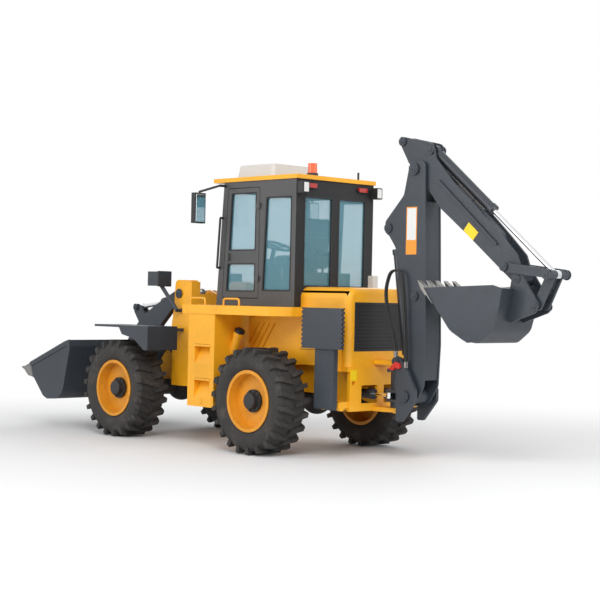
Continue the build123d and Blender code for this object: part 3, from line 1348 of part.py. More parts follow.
# Stabilisers: leg, serrated pad on the leg's outer face, and their cylinder
pad_gap = 6
notch_pitch = 47
for side_name, side in (("left", 1), ("right", -1)):
    pad_pin_y = side * (leg_inner_y + leg_thickness / 2)
    with BuildPart() as leg:
        leg_outline = (
            (leg_rear, leg_pivot_z - 30, 30),
            (leg_rear, 1120, 0),
            (leg_rear + 20, pad_pin_z, 0),
            (leg_front - 20, pad_pin_z, 0),
            (leg_front, 1120, 0),
            (leg_front, leg_pivot_z - 30, 30),
        )
        y_low, y_high = sorted((side * leg_inner_y, side * (leg_inner_y + leg_thickness)))
        plate(leg_outline, y_low, y_high)
        rod_between(
            (leg_rear + 20, pad_pin_y, pad_pin_z), (leg_front - 20, pad_pin_y, pad_pin_z), leg_thickness / 2
        )
        rod_between(
            (leg_rear, pad_pin_y, pad_pin_z), (leg_front, pad_pin_y, pad_pin_z),
            20 + running_gap, Mode.SUBTRACT,
        )
        hub_x = (leg_rear + ear_gap + 46, leg_front - ear_gap - 46)
        hub_y = side * leg_pivot_y
        rod_between((hub_x[0], hub_y, leg_pivot_z), (hub_x[1], hub_y, leg_pivot_z), 50)
        knee_y = sorted((side * leg_pivot_y, side * (leg_inner_y + 1)))
        block(hub_x[0], hub_x[1], knee_y[0], knee_y[1], leg_pivot_z - 28, leg_pivot_z + 45)
        rod_between(
            (leg_rear, side * leg_pivot_y, leg_pivot_z), (leg_front, side * leg_pivot_y, leg_pivot_z),
            30 + running_gap, Mode.SUBTRACT,
        )
        lug_y = sorted((side * (leg_cylinder_eye_y - 30), side * (leg_inner_y + 1)))
        for x_low, x_high in ((26 + ear_gap, 46 + ear_gap), (-46 - ear_gap, -26 - ear_gap)):
            block(
                leg_cylinder_x + x_low, leg_cylinder_x + x_high, lug_y[0], lug_y[1],
                leg_cylinder_eye_z - 45, leg_cylinder_eye_z + 45,
            )
    leg.part.label = side_name + "_stabiliser_leg"
    export_step(leg.part, "parts/" + leg.part.label + ".step")
    with BuildPart() as pad:
        pad_y = leg_inner_y + leg_thickness + pad_gap
        y_low, y_high = sorted((side * pad_y, side * (pad_y + pad_thickness)))
        block(pad_rear, pad_front, y_low, y_high, pad_bottom, pad_top)
        notch_count = int((pad_top - pad_bottom) / notch_pitch)
        for notch in range(notch_count):
            z = pad_bottom + notch_pitch * (notch + 0.5)
            for x, way in ((pad_rear, 1), (pad_front, -1)):
                tooth_cut = ((x - way, z - 14, 0), (x + way * 22, z, 0), (x - way, z + 14, 0))
                plate(tooth_cut, y_low, y_high, Mode.SUBTRACT)
        for x_low, x_high in ((leg_rear - 24, leg_rear + 14), (leg_front - 14, leg_front + 24)):
            lug_y = sorted((side * (leg_inner_y + 6), side * (pad_y + 1)))
            block(x_low, x_high, lug_y[0], lug_y[1], pad_pin_z - 28, pad_pin_z + 60)
        rod_between((leg_rear - 24, pad_pin_y, pad_pin_z), (leg_front + 24, pad_pin_y, pad_pin_z), 20)
    pad.part.label = side_name + "_stabiliser_pad"
    export_step(pad.part, "parts/" + pad.part.label + ".step")
    base = (leg_cylinder_x, side * leg_cylinder_base_y, leg_cylinder_base_z)
    eye = (leg_cylinder_x, side * leg_cylinder_eye_y, leg_cylinder_eye_z)
    with BuildPart() as leg_barrel:
        barrel(base, eye, along_x, 34, 470, 20 + running_gap, 20, 26)
    leg_barrel.part.label = side_name + "_leg_barrel"
    export_step(leg_barrel.part, "parts/" + leg_barrel.part.label + ".step")
    with BuildPart() as leg_rod:
        piston_rod(base, eye, along_x, 20, 92, 32, 26)
    leg_rod.part.label = side_name + "_leg_rod"
    export_step(leg_rod.part, "parts/" + leg_rod.part.label + ".step")
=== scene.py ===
import math

import bmesh
import bpy
from mathutils import Matrix, Vector


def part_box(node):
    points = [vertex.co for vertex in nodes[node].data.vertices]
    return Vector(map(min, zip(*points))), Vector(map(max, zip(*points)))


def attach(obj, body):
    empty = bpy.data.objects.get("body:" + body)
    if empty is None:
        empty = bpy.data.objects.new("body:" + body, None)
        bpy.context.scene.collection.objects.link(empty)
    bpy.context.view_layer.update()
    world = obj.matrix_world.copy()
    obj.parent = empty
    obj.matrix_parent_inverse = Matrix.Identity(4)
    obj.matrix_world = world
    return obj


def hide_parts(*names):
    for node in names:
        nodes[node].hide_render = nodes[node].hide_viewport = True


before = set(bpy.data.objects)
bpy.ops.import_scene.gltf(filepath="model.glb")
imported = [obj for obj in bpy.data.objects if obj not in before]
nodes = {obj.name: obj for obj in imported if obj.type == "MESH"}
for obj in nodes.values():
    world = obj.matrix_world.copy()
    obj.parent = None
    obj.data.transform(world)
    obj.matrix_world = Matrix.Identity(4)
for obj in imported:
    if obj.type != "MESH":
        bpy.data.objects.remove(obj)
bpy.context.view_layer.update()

# Materials


def shader(name, colour, rough, metallic=0.0, coat=0.0):
    """A principled material with its constants on the sockets; returns it and its nodes."""
    material = bpy.data.materials.new(name)
    material.use_nodes = True
    tree = material.node_tree
    main = tree.nodes["Principled BSDF"]
    main.inputs["Base Color"].default_value = (*colour, 1)
    main.inputs["Roughness"].default_value = rough
    main.inputs["Metallic"].default_value = metallic
    main.inputs["Coat Weight"].default_value = coat
    main.inputs["Coat Roughness"].default_value = 0.12
    return material, tree, main


def noise(tree, scale, detail=4.0, rough=0.55):
    """Noise in the object's own coordinates."""
    place = tree.nodes.new("ShaderNodeTexCoord")
    texture = tree.nodes.new("ShaderNodeTexNoise")
    texture.inputs["Scale"].default_value = scale
    texture.inputs["Detail"].default_value = detail
    texture.inputs["Roughness"].default_value = rough
    tree.links.new(place.outputs["Object"], texture.inputs["Vector"])
    return texture


def ramp(tree, source, stops):
    """Colour ramp from stops (place, colour) fed by source."""
    node = tree.nodes.new("ShaderNodeValToRGB")
    first, last = node.color_ramp.elements[0], node.color_ramp.elements[1]
    first.position, first.color = stops[0][0], (*stops[0][1], 1)
    last.position, last.color = stops[-1][0], (*stops[-1][1], 1)
    for place, colour in stops[1:-1]:
        element = node.color_ramp.elements.new(place)
        element.color = (*colour, 1)
    tree.links.new(source, node.inputs["Fac"])
    return node


def bump(tree, main, source, strength, distance):
    """Fine relief from source."""
    node = tree.nodes.new("ShaderNodeBump")
    node.inputs["Strength"].default_value = strength
    node.inputs["Distance"].default_value = distance
    tree.links.new(source, node.inputs["Height"])
    tree.links.new(node.outputs["Normal"], main.inputs["Normal"])


def paint(name, colour, dirt, rough=0.34, coat=0.35, wear=0.5):
    """Sprayed paint: slow colour drift, dust in speckles, and orange peel."""
    material, tree, main = shader(name, colour, rough, 0.0, coat)
    drift = noise(tree, 1.7, 6.0, 0.6)
    darker = tuple(c * 0.86 for c in colour)
    brighter = tuple(min(c * 1.08, 1.0) for c in colour)
    tint = ramp(tree, drift.outputs["Fac"], ((0.3, darker), (0.5, colour), (0.72, brighter)))
    dust = noise(tree, 6.5, 10.0, 0.72)
    mask = ramp(tree, dust.outputs["Fac"], ((0.55, (0, 0, 0)), (0.78, (wear, wear, wear))))
    mix = tree.nodes.new("ShaderNodeMix")
    mix.data_type = "RGBA"
    mix.inputs["B"].default_value = (*dirt, 1)
    tree.links.new(mask.outputs["Color"], mix.inputs["Factor"])
    tree.links.new(tint.outputs["Color"], mix.inputs["A"])
    tree.links.new(mix.outputs["Result"], main.inputs["Base Color"])
    rough_map = ramp(tree, dust.outputs["Fac"], ((0.35, (rough,) * 3), (0.8, (min(rough + 0.25, 1),) * 3)))
    tree.links.new(rough_map.outputs["Color"], main.inputs["Roughness"])
    peel = noise(tree, 160.0, 2.0)
    bump(tree, main, peel.outputs["Fac"], 0.05, 0.002)
    return material


def plain(name, colour, rough, metallic=0.0, grain=90.0, relief=0.12, spread=0.12, coat=0.0):
    """Moulded, cast or bare material with a little grain."""
    material, tree, main = shader(name, colour, rough, metallic, coat)
    grains = noise(tree, grain, 6.0, 0.6)
    low = tuple(c * (1 - spread) for c in colour)
    high = tuple(min(c * (1 + spread), 1.0) for c in colour)
    tint = ramp(tree, grains.outputs["Fac"], ((0.3, low), (0.7, high)))
    tree.links.new(tint.outputs["Color"], main.inputs["Base Color"])
    bump(tree, main, grains.outputs["Fac"], relief, 0.002)
    return material


def glass(name, colour, alpha, rough=0.04):
    """Tinted pane: mostly see-through, glossy, with faint smears."""
    material, tree, main = shader(name, colour, rough)
    main.inputs["Alpha"].default_value = alpha
    main.inputs["Specular IOR Level"].default_value = 0.8
    smears = noise(tree, 3.0, 5.0, 0.6)
    tint = ramp(tree, smears.outputs["Fac"], ((0.3, tuple(c * 0.9 for c in colour)), (0.7, colour)))
    tree.links.new(tint.outputs["Color"], main.inputs["Base Color"])
    return material


yellow = paint("yellow paint", (0.90, 0.41, 0.009), (0.52, 0.25, 0.035), 0.38, 0.25, 0.35)
cab_grey = paint("cab grey paint", (0.062, 0.061, 0.062), (0.14, 0.13, 0.12), 0.42, 0.15, 0.3)
# Painted shade: the arms' grey base colour is set darker than their paint, standing in for the shade a
# directional light would cast on them
grey = paint("arm grey paint darkened as painted shade", (0.029, 0.037, 0.048), (0.085, 0.083, 0.08), 0.44, 0.12, 0.35)
cylinder_grey = paint("cylinder paint", (0.022, 0.027, 0.035), (0.07, 0.066, 0.062), 0.34, 0.25, 0.3)
rim_yellow = paint("rim yellow paint", (0.70, 0.28, 0.009), (0.22, 0.12, 0.04), 0.46, 0.15, 0.75)
red = paint("red paint", (0.62, 0.02, 0.012), (0.3, 0.05, 0.04), 0.35, 0.4, 0.2)
chrome = plain("chromed rod", (0.78, 0.79, 0.80), 0.12, 1.0, 40.0, 0.02, 0.04)
steel = plain("worn steel", (0.28, 0.27, 0.26), 0.42, 0.9, 30.0, 0.15, 0.2)
cast = plain("black casting", (0.022, 0.022, 0.023), 0.62, 0.0, 120.0, 0.3, 0.3)
plastic = plain("black plastic", (0.016, 0.016, 0.018), 0.5, 0.0, 260.0, 0.2, 0.15)
rubber = plain("hose rubber", (0.014, 0.014, 0.014), 0.6, 0.0, 200.0, 0.15, 0.2)
pale = plain("pale grey moulding", (0.62, 0.62, 0.60), 0.5, 0.0, 60.0, 0.1, 0.05)
vinyl = plain("seat vinyl", (0.02, 0.02, 0.022), 0.48, 0.0, 320.0, 0.35, 0.2)
pane = glass("window pane", (0.20, 0.50, 0.62), 0.30)
trim = plain("black cab lining", (0.012, 0.012, 0.014), 0.7, 0.0, 300.0, 0.2, 0.15)
lens = plain("lamp lens", (0.75, 0.75, 0.74), 0.12, 0.0, 40.0, 0.05, 0.05, 0.6)
red_lens = plain("red lens", (0.42, 0.012, 0.01), 0.18, 0.0, 60.0, 0.1, 0.2, 0.6)
orange_lens = plain("orange lens", (0.85, 0.13, 0.03), 0.2, 0.0, 60.0, 0.1, 0.15, 0.6)
mirror = plain("mirror glass", (0.7, 0.75, 0.76), 0.05, 1.0, 20.0, 0.01, 0.03)
label_white = plain("blank label white", (0.72, 0.72, 0.70), 0.4, 0.0, 80.0, 0.03, 0.03)
label_orange = plain("blank label orange", (0.82, 0.30, 0.02), 0.4, 0.0, 80.0, 0.03, 0.03)
label_yellow = plain("blank label yellow", (0.90, 0.62, 0.01), 0.4, 0.0, 80.0, 0.03, 0.03)


def tyre_material():
    """Dusty tread rubber, paler in patches where mud has dried."""
    material, tree, main = shader("tyre rubber", (0.034, 0.031, 0.029), 0.82)
    slow = noise(tree, 5.0, 10.0, 0.7)
    wet, dry, dusty = (0.020, 0.019, 0.019), (0.034, 0.031, 0.029), (0.085, 0.074, 0.062)
    tint = ramp(tree, slow.outputs["Fac"], ((0.3, wet), (0.55, dry), (0.75, dusty)))
    tree.links.new(tint.outputs["Color"], main.inputs["Base Color"])
    fine = noise(tree, 140.0, 4.0, 0.6)
    bump(tree, main, fine.outputs["Fac"], 0.35, 0.003)
    return material


tyre_rubber = tyre_material()

# Which CAD nodes wear which material
dressed = (
    (yellow, "rear_frame side_platforms cab_roof engine_hood front_frame"),
    (cab_grey, "cab_shell left_door right_door"),
    (grey, "front_fenders loader_arm bell_crank tilt_link loader_bucket swing_post boom stick"),
    (grey, "hoe_bucket dump_lever bucket_link"),
    (grey, "left_stabiliser_leg right_stabiliser_leg left_stabiliser_pad right_stabiliser_pad"),
    (cylinder_grey, "lift_barrels tilt_barrel boom_barrel stick_barrel bucket_barrel swing_barrels"),
    (cylinder_grey, "left_steer_barrel right_steer_barrel left_leg_barrel right_leg_barrel"),
    (chrome, "lift_rods tilt_rod boom_rod stick_rod bucket_rod left_swing_rod right_swing_rod"),
    (chrome, "left_steer_rod right_steer_rod left_leg_rod right_leg_rod"),
    (rim_yellow, "rear_left_rim rear_right_rim front_left_rim front_right_rim"),
    (tyre_rubber, "rear_left_tyre rear_right_tyre front_left_tyre front_right_tyre"),
    (cast, "drivetrain rear_axle front_axle"),
    (plastic, "cab_interior rear_grille cab_fittings"),
    (pane, "cab_glass"),
    (vinyl, "seat"),
)
for material, names in dressed:
    for name in names.split():
        node = nodes[name]
        node.data.materials.clear()
        node.data.materials.append(material)

# Camera, light and floor

photo_pixels = 600
focal_pixels = 1427.94
sensor_width = 36
camera_data = bpy.data.cameras.new("camera")
camera_data.sensor_fit = "HORIZONTAL"
camera_data.sensor_width = sensor_width
camera_data.lens = focal_pixels / photo_pixels * sensor_width
camera_data.clip_end = 200
camera = bpy.data.objects.new("camera", camera_data)
bpy.context.scene.collection.objects.link(camera)
yaw, pitch, roll = math.radians(-43.826), math.radians(-0.091), math.radians(1.2255)
forward = Vector((math.cos(pitch) * math.cos(yaw), math.cos(pitch) * math.sin(yaw), math.sin(pitch)))
level_right = Vector((math.sin(yaw), -math.cos(yaw), 0))
level_up = level_right.cross(forward)
right = level_right * math.cos(roll) + level_up * math.sin(roll)
up = right.cross(forward)
turn = Matrix((right, up, -forward)).transposed().to_4x4()
camera.matrix_world = Matrix.Translation((-11.2916, 11.1305, 1.6798)) @ turn
bpy.context.scene.camera = camera


def lamp(name, place, target, size, power, colour=(1, 1, 1)):
    """Soft square lamp that faces a point."""
    data = bpy.data.lights.new(name, "AREA")
    data.size = size
    data.energy = power
    data.color = colour
    made = bpy.data.objects.new(name, data)
    bpy.context.scene.collection.objects.link(made)
    aim = Vector(target) - Vector(place)
    made.rotation_euler = aim.to_track_quat("-Z", "Y").to_euler()
    made.location = place


lamp("key", (-9.0, 9.0, 9.5), (0, 0, 1), 7.0, 1150)
lamp("left fill", (4.0, 12.0, 5.0), (0.5, 0, 1), 8.0, 420)
lamp("rear fill", (-12.0, -3.0, 5.0), (-1, 0, 1), 7.0, 380)
lamp("far fill", (7.0, -10.0, 7.0), (0.5, 0, 1), 8.0, 420)

world = bpy.data.worlds.new("studio")
bpy.context.scene.world = world
world.use_nodes = True
sky = world.node_tree
# Light comes from a dim sky, but the camera, mirrors and glass see plain white
background = sky.nodes["Background"]
background.inputs["Color"].default_value = (0.93, 0.94, 0.96, 1)
background.inputs["Strength"].default_value = 0.55
seen = sky.nodes.new("ShaderNodeBackground")
seen.inputs["Color"].default_value = (1, 1, 1, 1)
seen.inputs["Strength"].default_value = 1.0
path = sky.nodes.new("ShaderNodeLightPath")
seen_or_mirrored = sky.nodes.new("ShaderNodeMath")
seen_or_mirrored.operation = "MAXIMUM"
any_of_three = sky.nodes.new("ShaderNodeMath")
any_of_three.operation = "MAXIMUM"
pick = sky.nodes.new("ShaderNodeMixShader")
sky.links.new(path.outputs["Is Camera Ray"], seen_or_mirrored.inputs[0])
sky.links.new(path.outputs["Is Glossy Ray"], seen_or_mirrored.inputs[1])
sky.links.new(seen_or_mirrored.outputs[0], any_of_three.inputs[0])
sky.links.new(path.outputs["Is Transmission Ray"], any_of_three.inputs[1])
sky.links.new(any_of_three.outputs[0], pick.inputs["Fac"])
sky.links.new(background.outputs[0], pick.inputs[1])
sky.links.new(seen.outputs[0], pick.inputs[2])
sky.links.new(pick.outputs[0], sky.nodes["World Output"].inputs["Surface"])

floor_mesh = bpy.data.meshes.new("floor")
reach = 60
floor_corners = [(-reach, -reach, 0), (reach, -reach, 0), (reach, reach, 0), (-reach, reach, 0)]
floor_mesh.from_pydata(floor_corners, [], [(0, 1, 2, 3)])
floor = bpy.data.objects.new("floor", floor_mesh)
bpy.context.scene.collection.objects.link(floor)
gap_below_wheels = 0.0015
floor.location.z = -gap_below_wheels
floor_material, floor_tree, floor_main = shader("floor", (0.86, 0.86, 0.86), 0.9)
floor_mesh.materials.append(floor_material)
# Far from the machine the floor is plain white, so it has no horizon; near it, it takes the shadow
place = floor_tree.nodes.new("ShaderNodeTexCoord")
distance = floor_tree.nodes.new("ShaderNodeVectorMath")
distance.operation = "LENGTH"
fade = floor_tree.nodes.new("ShaderNodeMapRange")
fade.interpolation_type = "SMOOTHSTEP"
fade.inputs["From Min"].default_value = 3.5
fade.inputs["From Max"].default_value = 9.0
glow = floor_tree.nodes.new("ShaderNodeEmission")
glow.inputs["Color"].default_value = (1, 1, 1, 1)
floor_path = floor_tree.nodes.new("ShaderNodeLightPath")
seen_far = floor_tree.nodes.new("ShaderNodeMath")
seen_far.operation = "MULTIPLY"
blend = floor_tree.nodes.new("ShaderNodeMixShader")
floor_tree.links.new(place.outputs["Object"], distance.inputs[0])
floor_tree.links.new(distance.outputs["Value"], fade.inputs["Value"])
floor_tree.links.new(fade.outputs["Result"], seen_far.inputs[0])
floor_tree.links.new(floor_path.outputs["Is Camera Ray"], seen_far.inputs[1])
floor_tree.links.new(seen_far.outputs[0], blend.inputs["Fac"])
floor_tree.links.new(floor_main.outputs[0], blend.inputs[1])
floor_tree.links.new(glow.outputs[0], blend.inputs[2])
floor_tree.links.new(blend.outputs[0], floor_tree.nodes["Material Output"].inputs["Surface"])

bpy.context.scene.view_settings.view_transform = "Standard"

# Pieces


def link(name, mesh, material, body, smooth=False):
    """Puts a mesh in the scene as one piece that rides on a body."""
    made = bpy.data.objects.new(name.replace(" ", "_"), mesh)
    bpy.context.scene.collection.objects.link(made)
    mesh.materials.append(material)
    for face in mesh.polygons:
        face.use_smooth = smooth
    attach(made, body)
    return made


def soften(made, width):
    """Rounds a piece's edges."""
    edge = made.modifiers.new("edges", "BEVEL")
    edge.width = width
    edge.segments = 2
    edge.limit_method = "ANGLE"


def boxes(name, spans, material, body, width=0.0):
    """One piece of boxes, each span (x low, x high, y low, y high, z low, z high)."""
    shape = bmesh.new()
    for x_low, x_high, y_low, y_high, z_low, z_high in spans:
        size = Vector((x_high - x_low, y_high - y_low, z_high - z_low))
        centre = Vector((x_low + x_high, y_low + y_high, z_low + z_high)) / 2
        place = Matrix.Translation(centre) @ Matrix.Diagonal((*size, 1))
        bmesh.ops.create_cube(shape, size=1.0, matrix=place)
    mesh = bpy.data.meshes.new(name)
    shape.to_mesh(mesh)
    shape.free()
    made = link(name, mesh, material, body)
    if width:
        soften(made, width)
    return made


def add_rod(shape, start, end, radius, sides):
    """Adds a closed round bar to a bmesh."""
    start, end = Vector(start), Vector(end)
    run = end - start
    turn = run.to_track_quat("Z", "Y").to_matrix().to_4x4()
    bmesh.ops.create_cone(
        shape, cap_ends=True, segments=sides, radius1=radius, radius2=radius, depth=run.length,
        matrix=Matrix.Translation((start + end) / 2) @ turn,
    )


def rods(name, spans, material, body, sides=24):
    """One piece of round bars, each span (start, end, radius)."""
    shape = bmesh.new()
    for start, end, radius in spans:
        add_rod(shape, start, end, radius, sides)
    mesh = bpy.data.meshes.new(name)
    shape.to_mesh(mesh)
    shape.free()
    made = link(name, mesh, material, body)
    made.data.shade_smooth()
    split = made.modifiers.new("crisp", "EDGE_SPLIT")
    split.split_angle = math.radians(40)
    return made


def pipe(name, points, radius, material, body, bend):
    """Round tube through corner points, each corner rounded over the length bend."""
    bend_steps = 6
    curve = bpy.data.curves.new(name, "CURVE")
    curve.dimensions = "3D"
    line = curve.splines.new("POLY")
    path = []
    corners = [Vector(point) for point in points]
    for index, corner in enumerate(corners):
        if index in (0, len(corners) - 1):
            path.append(corner)
            continue
        before, after = corners[index - 1] - corner, corners[index + 1] - corner
        reach = min(bend, before.length * 0.45, after.length * 0.45)
        first, last = corner + before.normalized() * reach, corner + after.normalized() * reach
        for step in range(bend_steps + 1):
            t = step / bend_steps
            path.append(first * (1 - t) ** 2 + corner * 2 * t * (1 - t) + last * t * t)
    line.points.add(len(path) - 1)
    for spot, place in zip(line.points, path):
        spot.co = (*place, 1)
    curve.bevel_depth = radius
    curve.bevel_resolution = 4
    curve.use_fill_caps = True
    shown = bpy.data.objects.new(name + " curve", curve)
    bpy.context.scene.collection.objects.link(shown)
    mesh = bpy.data.meshes.new_from_object(shown.evaluated_get(bpy.context.evaluated_depsgraph_get()))
    bpy.data.objects.remove(shown)
    bpy.data.curves.remove(curve)
    mesh.materials.clear()
    return link(name, mesh, material, body, smooth=True)


def recolour_hub(node, material, radius):
    """Gives the faces of a rim near its axle another material."""
    low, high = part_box(node)
    middle = (low + high) / 2
    mesh = nodes[node].data
    slot = len(mesh.materials)
    mesh.materials.append(material)
    for face in mesh.polygons:
        if math.hypot(face.center.x - middle.x, face.center.z - middle.z) < radius:
            face.material_index = slot


def recolour(node, material, low, high):
    """Gives the faces of a CAD node inside a box another material."""
    mesh = nodes[node].data
    slot = len(mesh.materials)
    mesh.materials.append(material)
    for face in mesh.polygons:
        if all(low[axis] <= face.center[axis] <= high[axis] for axis in range(3)):
            face.material_index = slot


# Two-coloured CAD nodes: the roof's air unit, the beacon, the rear lamps, and the doors' panes and linings
roof_slab_top = 3.006
far = 20
recolour("cab_roof", pale, (-far, -far, roof_slab_top + 0.002), (far, far, far))
recolour("cab_fittings", orange_lens, (-0.13, 0.13, 3.05), (0.01, 0.27, far))
recolour("cab_fittings", red_lens, (-0.28, -0.47, 2.86), (-0.255, 0.47, 2.92))
for side_name, side in (("left", 1), ("right", -1)):
    pane_y = sorted((side * 0.5705, side * 0.5795))
    recolour(side_name + "_door", pane, (-far, pane_y[0], -far), (far, pane_y[1], far))
    inside_y = sorted((side * 0.5495, side * 0.5505))
    recolour(side_name + "_door", trim, (-far, inside_y[0], -far), (far, inside_y[1], far))
# Cab lining at the sides and the rear, lock hook, and the cutting edges of both buckets
recolour("cab_shell", trim, (-0.1855, -0.5505, 1.62), (1.0, 0.5505, 2.92))
recolour("cab_shell", trim, (-0.2305, -far, 1.60), (-0.2295, far, 2.96))
recolour("swing_post", red, (-1.43, 0.186, 0.96), (-1.2, 0.215, 1.05))
recolour("loader_bucket", steel, (4.09, -far, 0.6), (far, far, far))
recolour("hoe_bucket", steel, (-1.84, -far, 1.7), (-1.7, far, 1.9))

hub_radius = 0.128
for wheel in ("rear_left", "rear_right", "front_left", "front_right"):
    recolour_hub(wheel + "_rim", cast, hub_radius)

# Pin heads on both ends of each pin, a disc, a boss and a bolt
# Columns: name, body, x, z, half width over the pin's end, radius
pin_heads = (
    ("arm pivot", "front_unit", 1.850, 1.700, 0.4973, 0.056),
    ("boom foot", "swing_post", -1.470, 0.690, 0.199, 0.060),
    ("boom cylinder base", "swing_post", -1.340, 1.040, 0.195, 0.046),
    ("stick pivot", "boom", -1.485, 3.030, 0.136, 0.062),
    ("stick cylinder base", "boom", -1.524, 1.722, 0.132, 0.048),
    ("boom cylinder eye", "boom", -1.140, 2.429, 0.132, 0.050),
    ("bucket cylinder base", "stick", -1.665, 3.219, 0.095, 0.050),
    ("stick cylinder eye", "stick", -1.285, 3.328, 0.095, 0.048),
    ("lever pin", "stick", -2.680, 2.023, 0.150, 0.046),
    ("rod pin", "dump_lever", -3.200, 1.950, 0.163, 0.050),
    ("hoe bucket pin", "hoe_bucket", -2.813, 1.908, 0.111, 0.046),
    ("link pin", "hoe_bucket", -3.031, 1.640, 0.115, 0.044),
    ("loader bucket pin", "loader_arms", 3.300, 0.510, 0.495, 0.048),
    ("crank top pin", "bell_crank", 3.250, 1.517, 0.0653, 0.044),
    ("crank low pin", "bell_crank", 2.720, 0.905, 0.0653, 0.044),
    ("crank pivot", "loader_arms", 2.975, 1.190, 0.100, 0.046),
)
for name, body, x, z, half_width, radius in pin_heads:
    spans = []
    for side in (1, -1):
        face = side * half_width
        spans.append(((x, face - side * 0.004, z), (x, face + side * 0.007, z), radius))
        spans.append(((x, face, z), (x, face + side * 0.012, z), radius * 0.62))
        bolt = (x + radius * 0.2, z - radius * 0.15)
        spans.append(((bolt[0], face, bolt[1]), (bolt[0], face + side * 0.019, bolt[1]), 0.011))
    rods(name + " heads", spans, grey, body)


def ring_plate(name, corners, width, y_low, y_high, material, body):
    """Flat frame that follows a convex outline of (x, z) corners, width wide inwards, square to Y."""
    centre = Vector((sum(c[0] for c in corners), sum(c[1] for c in corners))) / len(corners)
    count = len(corners)
    inner = []
    for index in range(count):
        before, here, after = (Vector(corners[(index + k) % count]) for k in (-1, 0, 1))
        first, second = (here - before).normalized(), (after - here).normalized()
        first_in, second_in = Vector((-first.y, first.x)), Vector((-second.y, second.x))
        if first_in.dot(centre - here) < 0:
            first_in, second_in = -first_in, -second_in
        inward = (first_in + second_in).normalized()
        inner.append(here + inward * width / max(inward.dot(first_in), 0.3))
    points, faces = [], []
    for y in (y_low, y_high):
        points += [(c[0], y, c[1]) for c in corners] + [(c.x, y, c.y) for c in inner]
    for index in range(count):
        following = (index + 1) % count
        a, b, c, d = index, following, count + following, count + index
        shift = 2 * count
        faces += [(a, b, c, d), (d + shift, c + shift, b + shift, a + shift)]
        faces += [(a, a + shift, b + shift, b), (d, c, c + shift, d + shift)]
    mesh = bpy.data.meshes.new(name)
    mesh.from_pydata(points, [], faces)
    tidy = bmesh.new()
    tidy.from_mesh(mesh)
    bmesh.ops.recalc_face_normals(tidy, faces=tidy.faces)
    tidy.to_mesh(mesh)
    tidy.free()
    return link(name, mesh, material, body)


# Window rubbers on the cab's sides and doors
cab_side = 0.600
side_window = ((-0.165, 1.745), (-0.165, 2.775), (0.245, 2.775), (0.290, 1.745))
door_upper = ((0.405, 2.190), (0.405, 2.835), (0.820, 2.835), (0.858, 2.190))
door_lower = ((0.405, 1.735), (0.405, 2.050), (0.872, 2.050), (0.890, 1.735))
for side_name, side in (("left", 1), ("right", -1)):
    rubber_y = sorted((side * (cab_side - 0.018), side * (cab_side + 0.002)))
    ring_plate(side_name + " window rubber", side_window, 0.016, *rubber_y, rubber, "rear_unit")
    for part_name, outline in (("upper", door_upper), ("lower", door_lower)):
        rubber_name = side_name + " door " + part_name + " rubber"
        ring_plate(rubber_name, outline, 0.014, *rubber_y, rubber, side_name + "_door")

# Rear window rubbers, seen from behind
for side_name, side in (("left", 1), ("right", -1)):
    window = [(side * 0.045, 1.800), (side * 0.045, 2.780), (side * 0.480, 2.780), (side * 0.480, 1.800)]
    made = ring_plate(side_name + " rear window rubber", window, 0.016, -0.002, 0.018, rubber, "rear_unit")
    turned = Matrix(((0, 1, 0, -0.230), (1, 0, 0, 0), (0, 0, 1, 0), (0, 0, 0, 1)))
    made.data.transform(turned)
    made.data.flip_normals()

# Lamp lenses, their rims and the mirrors' glass
for side_name, side in (("left", 1), ("right", -1)):
    lamp_y = sorted((side * 0.535, side * 0.605))
    boxes(side_name + " work lamp lens", [(-0.356, -0.349, *lamp_y, 2.812, 2.913)], lens, "rear_unit", 0.004)
    rim = [
        (-0.355, -0.348, lamp_y[0] - 0.008, lamp_y[0], 2.806, 2.919),
        (-0.355, -0.348, lamp_y[1], lamp_y[1] + 0.008, 2.806, 2.919),
    ]
    boxes(side_name + " work lamp rim", rim, plastic, "rear_unit")
    head_y = side * 0.560
    lens_spans = [(2.248, 2.256, head_y - 0.080, head_y + 0.080, 1.800, 1.940)]
    boxes(side_name + " head lamp lens", lens_spans, lens, "front_unit", 0.006)
    back_spans = [(2.040, 2.062, head_y - 0.102, head_y + 0.102, 1.778, 1.962)]
    boxes(side_name + " head lamp back", back_spans, plastic, "front_unit", 0.008)
    mirror_y = side * 0.890
    glass_spans = [(1.014, 1.019, mirror_y - 0.062, mirror_y + 0.062, 2.505, 2.815)]
    boxes(side_name + " mirror glass", glass_spans, mirror, "rear_unit", 0.02)

# Deck hoops
deck_top = 1.578
for side_name, side in (("left", 1), ("right", -1)):
    for number, (x_low, x_high) in enumerate(((0.852, 1.100), (0.285, 0.540))):
        hoop_y = side * 0.930
        route = [
            (x_low, hoop_y, deck_top - 0.002), (x_low, hoop_y, deck_top + 0.075),
            (x_high, hoop_y, deck_top + 0.075), (x_high, hoop_y, deck_top - 0.002),
        ]
        pipe(side_name + " deck hoop %d" % (number + 1), route, 0.011, yellow, "rear_unit", 0.045)

# Filler caps on the tank necks
for side_name, side in (("left", 1), ("right", -1)):
    neck_low, neck_high = Vector((0.530, side * 0.720, 1.240)), Vector((0.508, side * 0.720, 1.284))
    way = (neck_high - neck_low).normalized()
    spans = [
        (neck_high - way * 0.004, neck_high + way * 0.030, 0.058),
        (neck_high + way * 0.028, neck_high + way * 0.044, 0.040),
    ]
    rods(side_name + " filler cap", spans, plastic, "rear_unit")

# Bare label panels on the boom: a white and an orange field in an orange border
for side_name, side in (("left", 1), ("right", -1)):
    for name, colour, span, proud in (
        ("border", label_orange, (-1.530, -1.385, 2.150, 2.640), 0.001),
        ("white field", label_white, (-1.518, -1.397, 2.300, 2.628), 0.0016),
        ("orange field", label_orange, (-1.518, -1.397, 2.162, 2.288), 0.0016),
    ):
        face = sorted((side * 0.1195, side * (0.120 + proud)))
        field = [(span[0], span[1], *face, span[2], span[3])]
        boxes(side_name + " boom label " + name, field, colour, "boom")

